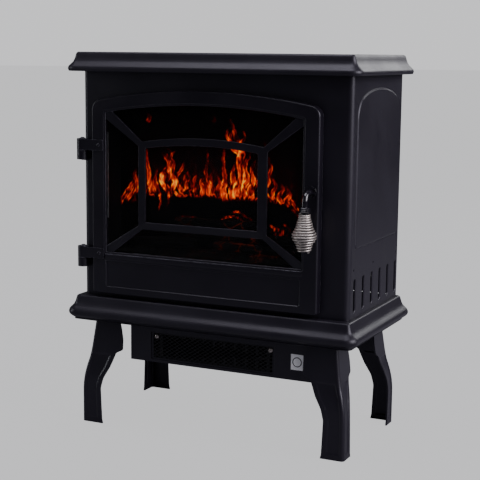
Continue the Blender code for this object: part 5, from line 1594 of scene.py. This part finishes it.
def tongue_heat(x, z, points, width, strength):
    """Heat of one tongue: bright along its two edges, deeper in its body, fading at foot and tip."""
    line = np.array([tuple(point) for point in smooth_line(points, 6)])
    best = np.full(x.shape, 1e9)
    along = np.zeros(x.shape)
    pieces = len(line) - 1
    for index in range(pieces):
        start, run = line[index], line[index + 1] - line[index]
        share = np.clip(((x - start[0]) * run[0] + (z - start[1]) * run[1]) / (run @ run), 0.0, 1.0)
        gap = np.hypot(x - start[0] - share * run[0], z - start[1] - share * run[1])
        closer = gap < best
        best = np.where(closer, gap, best)
        along = np.where(closer, (index + share) / pieces, along)
    half = width * (0.62 + 0.55 * along) * (1 - along) ** 0.75 + 0.35
    across = best / half
    rim = np.exp(-((across - 0.80) / 0.22) ** 2)
    body = np.clip(1 - across * across, 0.0, 1.0)
    fade = step_between(along, -0.02, 0.16) * (1 - 0.7 * along ** 2)
    streaks = 2.3 * layered_noise(x, z * 0.40, 3.4, 61, 2) - 0.20
    return strength * fade * np.clip(streaks, 0.0, 2.0) * (0.66 * rim + 0.50 * body)


def flame_heat(x, z):
    """Heat of the whole fire at places in millimetres on the screen."""
    warp_x = 7.0 * (layered_noise(x, z * 0.7, 17.0, 11) - 0.5)
    warp_x = warp_x + 3.4 * (layered_noise(x, z * 0.7, 5.0, 21) - 0.5)
    warp_z = 5.0 * (layered_noise(x, z, 15.0, 31) - 0.5)
    bent_x, bent_z = x + warp_x, z + warp_z
    cold = np.ones(x.shape)
    for points, width, strength in TONGUES:
        xs, zs = [point[0] for point in points], [point[1] for point in points]
        reach = width * 2.2 + 8
        near = (x > min(xs) - reach) & (x < max(xs) + reach) & (z > min(zs) - reach) & (z < max(zs) + reach)
        heat = tongue_heat(bent_x[near], bent_z[near], points, width, strength)
        cold[near] *= 1 - 0.92 * np.clip(heat, 0.0, 1.0)
    base = np.interp(x, (-170, -120, -32, 60, 112, 145), (306, 326, 330, 330, 324, 306))
    rise = z - base
    licks = layered_noise(bent_x, bent_z * 0.42, 8.0, 41)
    spread = step_between(x, -168, -120) * (1 - step_between(x, 92, 124))
    threads = np.exp(-((licks - 0.52) / 0.045) ** 2)
    glow = step_between(rise, -1.0, 5.0) * np.exp(-np.clip(rise, 0, None) / 19.0) * spread
    cold *= 1 - 0.70 * glow * (0.06 + threads * 0.95)
    haze = step_between(rise, 0.0, 26.0) * np.exp(-np.clip(rise - 20, 0, None) / 38.0) * spread
    cold *= 1 - 0.055 * haze
    return (1 - cold) ** 1.35


def fire_colour(heat):
    """Black through deep red and orange to yellow."""
    levels = (0.0, 0.12, 0.32, 0.52, 0.74, 0.90, 1.0)
    red = (0.0, 0.020, 0.26, 0.72, 0.98, 1.0, 1.0)
    green = (0.0, 0.0002, 0.004, 0.035, 0.15, 0.36, 0.60)
    blue = (0.0, 0.0, 0.0, 0.0, 0.0, 0.0, 0.0)
    return np.stack([np.interp(heat, levels, channel) for channel in (red, green, blue)], axis=-1)


LIT_HEIGHTS = (0.2950, 0.4520)
LOG_TILTS = (0.0010, -0.0014, 0.0012, 0.0008)
LOG_SIDES = 56
LOG_LEVELS = 110
HEAP_COLUMNS = 220
HEAP_LINES = 34
CHIP_RADIUS = 0.0024
BOARD_LAMPS = 12


def make_screen():
    """Screen of the flame effect: a solid plate whose fine front face carries the light of the flames."""
    low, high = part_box("flame_screen")
    fire = bpy.context.scene.stove_fire
    step = fire.face_step
    columns = int((high.x - low.x) / step)
    xs = np.linspace(low.x, high.x, columns + 1)
    foot, crest = LIT_HEIGHTS
    zs = np.concatenate([
        np.linspace(low.z, foot, 12)[:-1], np.arange(foot, crest, step), np.linspace(crest, high.z, 6),
    ])
    grid_x, grid_z = np.meshgrid(xs, zs)
    heat = flame_heat(grid_x.ravel() / MM, grid_z.ravel() / MM)
    colours = fire_colour(heat)
    shape = bmesh.new()
    rows = [[shape.verts.new((x, low.y, z)) for x in xs] for z in zs]
    slab(shape, rows, lambda place: (place.x, high.y, place.z))
    front = len(zs) * len(xs)
    mesh = mesh_from(shape, "screen", smooth=False)
    layer = mesh.attributes.new("fire_light", "FLOAT_COLOR", "POINT")
    values = np.zeros((len(mesh.vertices), 4), dtype=np.float32)
    values[:, 3] = 1.0
    values[:front, :3] = colours
    layer.data.foreach_set("color", values.ravel())
    finish_piece("lit_flame_screen", mesh, "lit_screen", CABINET, ["flame_screen"])


def make_logs():
    """Charred logs: a rod with splits and bark along it and blunt, broken ends."""
    for number, node in enumerate(("fire_log_back", "fire_log_left", "fire_log_right", "fire_log_top")):
        low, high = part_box(node)
        radius = min(high.y - low.y, high.z - low.z) / 2 * 0.97
        centre = (low + high) / 2
        rings = []
        for level in range(LOG_LEVELS + 1):
            share = level / LOG_LEVELS
            x = mix(low.x, high.x, share)
            blunt = min(1.0, 0.74 + 9.0 * min(share, 1 - share))
            ring = []
            for side in range(LOG_SIDES):
                angle = 2 * pi * side / LOG_SIDES
                place = Vector((x * 26 + number * 7, 2.0 * cos(angle), 2.0 * sin(angle)))
                bark = noise.fractal(place, 0.8, 2.2, 5)
                split = abs(noise.noise(Vector((x * 14, 5.5 * cos(angle) + number * 3, 5.5 * sin(angle)))))
                swell = 0.86 + 0.10 * bark - 0.16 * max(0.0, 0.16 - split) / 0.16
                knot = 0.07 * noise.noise(Vector((x * 60, cos(angle) + number, sin(angle))))
                reach = radius * min(swell + knot, 1.0) * blunt
                bend = LOG_TILTS[number] * sin(pi * share * 1.4 + number)
                ring.append((x, centre.y + reach * cos(angle), centre.z + bend + reach * sin(angle)))
            rings.append(ring)
        shape = loft(rings, True, True)
        bmesh.ops.recalc_face_normals(shape, faces=shape.faces)
        name = node.replace("fire_log", "charred_log")
        finish_piece(name, mesh_from(shape, name), "log_bark", CABINET, [node])


def heap_height(x, y):
    lumps = noise.fractal(Vector((x * 70, y * 80, 0.3)), 0.7, 2.1, 5)
    return 0.0024 + 0.0030 * lumps


def make_embers():
    low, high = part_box("ember_bed")
    fire = bpy.context.scene.stove_fire
    shape = bmesh.new()
    rows = []
    for line in range(HEAP_LINES + 1):
        y = mix(low.y, high.y, line / HEAP_LINES)
        row = []
        for column in range(HEAP_COLUMNS + 1):
            x = mix(low.x, high.x, column / HEAP_COLUMNS)
            border = ease(min(x - low.x, high.x - x, y - low.y, high.y - y), 0.0, 0.0040)
            z = high.z - 0.0030 - 0.0040 * (1 - border) + heap_height(x, y) * border
            row.append(shape.verts.new((x, y, min(z, high.z + 0.0030))))
        rows.append(row)
    slab(shape, rows, lambda place: (place.x, place.y, low.z))
    bed = mesh_from(shape, "heap")
    chip = bmesh.new()
    bmesh.ops.create_icosphere(chip, subdivisions=1, radius=CHIP_RADIUS)
    for vertex in chip.verts:
        vertex.co *= 0.75 + 0.45 * noise.noise(vertex.co * 900)
        vertex.co.z *= 0.6
    template = template_object(chip, smooth=False)
    base = bpy.data.meshes.new("bed_top")
    left, right, front, rear = low.x + 0.006, high.x - 0.006, low.y + 0.004, high.y - 0.004
    level = high.z - 0.0004
    corners = [(left, front, level), (right, front, level), (right, rear, level), (left, rear, level)]
    base.from_pydata(corners, [], [(0, 1, 2, 3)])
    values = {
        "Template": template, "Density": fire.ember_density, "Smallest": 0.55, "Largest": 1.45, "Seed": 7,
        "Material": MATERIALS["loose_embers"],
    }
    mesh = grow_nodes(scatter_tree(), values, base)
    drop(template)
    finish_piece("ember_heap", bed, "ember_heap", CABINET, ["ember_bed"])
    finish_piece("loose_embers", mesh, "loose_embers", CABINET)


def make_flame_drive():
    """Small lights on the board that shine up through the turning vanes."""
    low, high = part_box("led_board")
    lamp = rivet_head(0.0025, 0.0048)
    values = {
        "Columns": BOARD_LAMPS, "Rows": 1, "Column Pitch": (high.x - low.x - 0.0300) / (BOARD_LAMPS - 1),
        "Row Pitch": 0.01, "Shift": 0.0, "Start": (low.x + 0.0150, (low.y + high.y) / 2, high.z),
    }
    rows_of("board_lamps", lamp, values, "amber_lamp", CABINET)


# ---------------------------------------------------------------- rear controls

SOFTENED_CONTROLS = (
    ("switch_bezel", 0.0006, "rear_bezel", "black_plastic", CABINET),
    ("power_gland", 0.0003, "inlet_gland", "black_plastic", CABINET),
    ("rocker_flame", 0.0007, "flame_rocker", "red_rocker", "switch_flame"),
    ("rocker_low_heat", 0.0007, "low_heat_rocker", "black_plastic", "switch_low_heat"),
    ("rocker_high_heat", 0.0007, "high_heat_rocker", "black_plastic", "switch_high_heat"),
    ("thermostat_knob", 0.0005, "thermostat_dial_cap", "black_plastic", "thermostat_dial"),
)
DIAL_MARK = (0.0006, 0.0022, 0.0002, 1)
DIAL_MARKS = 11
DIAL_MARK_RADIUS = 0.0128
DIAL_START = -135
DIAL_STEP = 27


def make_controls():
    for node, bevel, name, material, body in SOFTENED_CONTROLS:
        soften(node, bevel, name, material, body)
    centre = middle_of("thermostat_knob")
    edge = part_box("switch_bezel")[1]
    mark = bmesh.new()
    bmesh.ops.create_cube(mark, size=1.0, matrix=Matrix.Diagonal(DIAL_MARK))
    places = []
    for index in range(DIAL_MARKS):
        angle = radians(DIAL_START + DIAL_STEP * index)
        x, z = centre.x - DIAL_MARK_RADIUS * sin(angle), centre.z + DIAL_MARK_RADIUS * cos(angle)
        if z < edge.z - 0.002 and x < edge.x - 0.0012:
            places.append(((x, edge.y + 0.0001, z), (0, 1, 0), atan2(sin(angle), cos(angle))))
    place_copies("dial_ticks", mark, places, "dial_marks", CABINET)


# ---------------------------------------------------------------- settings


class StoveFinish(bpy.types.PropertyGroup):
    """Colours and sheen of the painted and moulded parts."""

    casing_colour: FloatVectorProperty(
        name="Casing Colour", description="Colour of the powder-coated casing", subtype="COLOR",
        size=3, min=0.0, max=1.0, default=(0.0096, 0.0080, 0.0130),
    )
    casing_roughness: FloatProperty(
        name="Casing Roughness", description="How satin the casing is", min=0.05, max=1.0, default=0.40,
    )
    door_colour: FloatVectorProperty(
        name="Door Colour", description="Colour of the door and its lattice", subtype="COLOR",
        size=3, min=0.0, max=1.0, default=(0.0062, 0.0050, 0.0086),
    )
    door_roughness: FloatProperty(
        name="Door Roughness", description="How satin the door is", min=0.05, max=1.0, default=0.34,
    )
    rocker_colour: FloatVectorProperty(
        name="Flame Switch Colour", description="Colour of the rocker that lights the flames",
        subtype="COLOR", size=3, min=0.0, max=1.0, default=(0.42, 0.012, 0.008),
    )


class StoveCasing(bpy.types.PropertyGroup):
    """Sizes of the casing and legs."""

    rim_corner: FloatProperty(
        name="Rim Corner", description="Corner radius of the moulded plates", subtype="DISTANCE",
        unit="LENGTH", min=0.004, max=0.03, default=0.0160,
    )
    arch_raise: FloatProperty(
        name="Arch Raise", description="How far the side panels' arched field stands out",
        subtype="DISTANCE", unit="LENGTH", min=0.0, max=0.003, default=0.0010,
    )
    leg_press: FloatProperty(
        name="Leg Pressing", description="Depth of the pressed fields in the legs", subtype="DISTANCE",
        unit="LENGTH", min=0.0, max=0.002, default=0.0010,
    )


class StoveHeater(bpy.types.PropertyGroup):
    """Sizes of the fan heater's outlet."""

    mesh_pitch: FloatProperty(
        name="Mesh Pitch", description="Width of one diamond of the outlet mesh", subtype="DISTANCE",
        unit="LENGTH", min=0.004, max=0.02, default=0.0080,
    )


class StoveGrip(bpy.types.PropertyGroup):
    """Sizes of the coil grip."""

    wire_diameter: FloatProperty(
        name="Wire Diameter", description="Diameter of the grip's wire", subtype="DISTANCE",
        unit="LENGTH", min=0.001, max=0.004, default=0.0024,
    )
    turns: FloatProperty(
        name="Turns", description="Turns of wire in the grip", min=6.0, max=20.0, default=15.5,
    )


class StoveFire(bpy.types.PropertyGroup):
    """Light of the flame effect."""

    flame_strength: FloatProperty(
        name="Flame Strength", description="Brightness of the flames", min=0.0, max=20.0, default=1.3,
    )
    ember_strength: FloatProperty(
        name="Ember Strength", description="Brightness of the embers", min=0.0, max=20.0, default=0.55,
    )
    ember_density: FloatProperty(
        name="Ember Density", description="Loose embers for each square metre", min=0.0, max=90000.0,
        default=52000.0,
    )
    face_step: FloatProperty(
        name="Face Step", description="Fineness of the screen's lit face", subtype="DISTANCE",
        unit="LENGTH", min=0.0005, max=0.004, default=0.00085,
    )


class StoveStage(bpy.types.PropertyGroup):
    """Floor, light and camera."""

    floor_colour: FloatVectorProperty(
        name="Floor Colour", description="Colour of the plain floor", subtype="COLOR",
        size=3, min=0.0, max=1.0, default=(0.24, 0.24, 0.26),
    )
    key_power: FloatProperty(
        name="Key Light", description="Power of the large side light", subtype="POWER", unit="POWER",
        min=0.0, max=2000.0, default=64.0,
    )
    top_power: FloatProperty(
        name="Top Light", description="Power of the overhead light", subtype="POWER", unit="POWER",
        min=0.0, max=2000.0, default=28.0,
    )
    room_light: FloatProperty(
        name="Room Light", description="Light of the dim room all round", min=0.0, max=2.0, default=0.08,
    )
    lens: FloatProperty(
        name="Lens", description="Focal length of the camera", subtype="DISTANCE_CAMERA", unit="CAMERA",
        min=10.0, max=300.0, default=90.98,
    )


# ---------------------------------------------------------------- stage


PALE = (0.86, 0.86, 0.88, 1)
PALE_STRENGTH = 1.0


def make_floor():
    shape = bmesh.new()
    bmesh.ops.create_circle(shape, cap_ends=True, radius=40.0, segments=96)
    floor = new_object("floor", mesh_from(shape, "floor", smooth=False))
    material = bpy.data.materials.new("floor_paint")
    material.use_nodes = True
    tree = material.node_tree
    shader = tree.nodes["Principled BSDF"]
    place = add_node(tree, "ShaderNodeTexCoord").outputs["Object"]
    colour = bpy.context.scene.stove_stage.floor_colour
    soft = blended(tree, noise_at(tree, place, 3.0, 3.0), (*colour, 1), (*[c * 0.97 for c in colour], 1))
    tree.links.new(soft, shader.inputs["Base Color"])
    shader.inputs["Roughness"].default_value = 0.85
    shader.inputs["Specular IOR Level"].default_value = 0.0
    pale = add_node(tree, "ShaderNodeEmission", {"Color": PALE, "Strength": PALE_STRENGTH})
    seen = add_node(tree, "ShaderNodeLightPath").outputs["Is Camera Ray"]
    share = math_node(tree, "MULTIPLY", seen, 0.88)
    both = add_node(tree, "ShaderNodeMixShader", {0: share, 1: shader.outputs[0], 2: pale.outputs[0]})
    tree.links.new(both.outputs[0], tree.nodes["Material Output"].inputs["Surface"])
    floor.data.materials.append(material)


def area_light(name, place, target, size, power, colour):
    data = bpy.data.lights.new(name, "AREA")
    data.shape = "RECTANGLE"
    data.size, data.size_y = size
    data.energy = power
    data.color = colour
    lamp = bpy.data.objects.new(name, data)
    bpy.context.scene.collection.objects.link(lamp)
    lamp.location = place
    lamp.rotation_euler = (Vector(target) - Vector(place)).to_track_quat("-Z", "Y").to_euler()


def make_lights():
    stage = bpy.context.scene.stove_stage
    area_light("key_right", (2.1, -0.20, 1.20), (0.1, 0.0, 0.30), (1.8, 1.5), stage.key_power,
               (0.97, 0.93, 1.0))
    area_light("top_box", (-0.15, -0.35, 2.2), (0.0, 0.0, 0.3), (1.8, 1.2), stage.top_power,
               (0.93, 0.90, 1.0))
    area_light("left_strip", (-1.9, -0.9, 0.7), (0.0, 0.0, 0.3), (0.3, 1.4), 7.0, (0.93, 0.95, 1.0))
    area_light("rear_fill", (0.6, 2.2, 1.4), (0.0, 0.0, 0.3), (1.4, 1.0), 14.0, (0.98, 0.98, 1.0))
    world = bpy.data.worlds.new("studio")
    world.use_nodes = True
    tree = world.node_tree
    dim = tree.nodes["Background"]
    dim.inputs["Color"].default_value = (0.90, 0.93, 1.0, 1)
    dim.inputs["Strength"].default_value = stage.room_light
    pale = add_node(tree, "ShaderNodeBackground", {"Color": PALE, "Strength": PALE_STRENGTH})
    seen = add_node(tree, "ShaderNodeLightPath").outputs["Is Camera Ray"]
    both = add_node(tree, "ShaderNodeMixShader", {0: seen, 1: dim.outputs[0], 2: pale.outputs[0]})
    tree.links.new(both.outputs[0], tree.nodes["World Output"].inputs["Surface"])
    bpy.context.scene.world = world


CAMERA_PLACE = (0.7286, -1.53475, 0.5320)
CAMERA_HEADING = radians(25.22)
CAMERA_DOWN = radians(8.82)
CAMERA_ROLL = radians(0.6)


def make_camera():
    heading, down, roll = CAMERA_HEADING, CAMERA_DOWN, CAMERA_ROLL
    right = Vector((cos(heading), sin(heading), 0.0))
    back = Vector((sin(heading) * cos(down), -cos(heading) * cos(down), sin(down)))
    upward = back.cross(right)
    across = cos(roll) * right + sin(roll) * upward
    above = -sin(roll) * right + cos(roll) * upward
    data = bpy.data.cameras.new("camera")
    data.lens = bpy.context.scene.stove_stage.lens
    data.sensor_width = 36.0
    data.clip_start, data.clip_end = 0.01, 60.0
    camera = bpy.data.objects.new("camera", data)
    bpy.context.scene.collection.objects.link(camera)
    turn = Matrix((across, above, back)).transposed().to_4x4()
    camera.matrix_world = Matrix.Translation(CAMERA_PLACE) @ turn
    bpy.context.scene.camera = camera


# ---------------------------------------------------------------- operators


class STOVE_OT_finishes(bpy.types.Operator):
    """Make the shared shader groups and every material, and dress the frame's own pieces"""

    bl_idname = "stove.finishes"
    bl_label = "Finishes"

    def execute(self, context):
        make_coat_group()
        make_metal_group()
        make_char_group()
        make_plastic_group()
        make_coats()
        make_metals()
        make_plastics()
        make_fire_materials()
        make_glass()
        TREES["points"] = copies_on_points_tree()
        TREES["rows"] = copies_in_rows_tree()
        dress_frame()
        return {"FINISHED"}


class STOVE_OT_stage(bpy.types.Operator):
    """Make the plain floor, the soft lights and the camera"""

    bl_idname = "stove.stage"
    bl_label = "Stage"

    def execute(self, context):
        make_floor()
        make_lights()
        make_camera()
        return {"FINISHED"}


class STOVE_OT_casing(bpy.types.Operator):
    """Make the moulded top and base and the pressed front, side and rear sheets"""

    bl_idname = "stove.casing"
    bl_label = "Casing"

    def execute(self, context):
        make_pans()
        make_front_panel()
        make_side_panels()
        make_rear_panel()
        return {"FINISHED"}


class STOVE_OT_legs(bpy.types.Operator):
    """Make the four curved angle legs with their pressed fields"""

    bl_idname = "stove.legs"
    bl_label = "Legs"

    def execute(self, context):
        for part, sign_y in (("front", -1), ("rear", 1)):
            for side, sign_x in (("left", -1), ("right", 1)):
                make_leg(f"curved_leg_{part}_{side}", f"leg_{part}_{side}", (sign_x, sign_y))
        return {"FINISHED"}


class STOVE_OT_heater(bpy.types.Operator):
    """Make the fan heater's case, outlet mesh, element and blank label"""

    bl_idname = "stove.heater"
    bl_label = "Fan Heater"

    def execute(self, context):
        make_housing()
        make_outlet()
        make_element()
        return {"FINISHED"}


class STOVE_OT_door(bpy.types.Operator):
    """Make the door shell, its window lattice, hinges and glass clips"""

    bl_idname = "stove.door"
    bl_label = "Door"

    def execute(self, context):
        make_door_frame()
        make_lattice()
        make_hinges()
        make_clips()
        return {"FINISHED"}


class STOVE_OT_handle(bpy.types.Operator):
    """Make the bent rod, its ringed ferrule and catch, and the coil grip"""

    bl_idname = "stove.handle"
    bl_label = "Handle"

    def execute(self, context):
        make_rod()
        make_grip()
        return {"FINISHED"}


class STOVE_OT_fire(bpy.types.Operator):
    """Make the lit screen, the charred logs, the ember bed and the lamps under the vanes"""

    bl_idname = "stove.fire"
    bl_label = "Fire"

    def execute(self, context):
        make_screen()
        make_logs()
        make_embers()
        make_flame_drive()
        return {"FINISHED"}


class STOVE_OT_controls(bpy.types.Operator):
    """Make the rear switches, the thermostat dial with its marks and the inlet gland"""

    bl_idname = "stove.controls"
    bl_label = "Rear Controls"

    def execute(self, context):
        make_controls()
        return {"FINISHED"}


class STOVE_OT_fasteners(bpy.types.Operator):
    """Make the screws and rivets that hold the sheets together"""

    bl_idname = "stove.fasteners"
    bl_label = "Fasteners"

    def execute(self, context):
        make_fasteners()
        return {"FINISHED"}


OPERATORS = (
    STOVE_OT_finishes, STOVE_OT_stage, STOVE_OT_casing, STOVE_OT_legs, STOVE_OT_heater, STOVE_OT_door,
    STOVE_OT_handle, STOVE_OT_fire, STOVE_OT_controls, STOVE_OT_fasteners,
)
SETTINGS = {
    "stove_finish": StoveFinish, "stove_casing": StoveCasing, "stove_heater": StoveHeater,
    "stove_grip": StoveGrip, "stove_fire": StoveFire, "stove_stage": StoveStage,
}


class STOVE_PT_panel(bpy.types.Panel):
    """Sidebar panel with the stove's settings and builders"""

    bl_label = "Electric Stove Heater"
    bl_idname = "STOVE_PT_panel"
    bl_space_type = "VIEW_3D"
    bl_region_type = "UI"
    bl_category = "Stove"

    def draw(self, context):
        for name in SETTINGS:
            box = self.layout.box()
            group = getattr(context.scene, name)
            for setting in type(group).__annotations__:
                box.prop(group, setting)
        for operator in OPERATORS:
            self.layout.operator(operator.bl_idname)


def register():
    for item in (*SETTINGS.values(), *OPERATORS, STOVE_PT_panel):
        bpy.utils.register_class(item)
    for name, group in SETTINGS.items():
        setattr(bpy.types.Scene, name, PointerProperty(type=group))


def unregister():
    for name in SETTINGS:
        delattr(bpy.types.Scene, name)
    for item in reversed((*SETTINGS.values(), *OPERATORS, STOVE_PT_panel)):
        bpy.utils.unregister_class(item)


def main():
    register()
    for operator in OPERATORS:
        space, _, name = operator.bl_idname.partition(".")
        getattr(getattr(bpy.ops, space), name)()


if __name__ == "__main__":
    main()
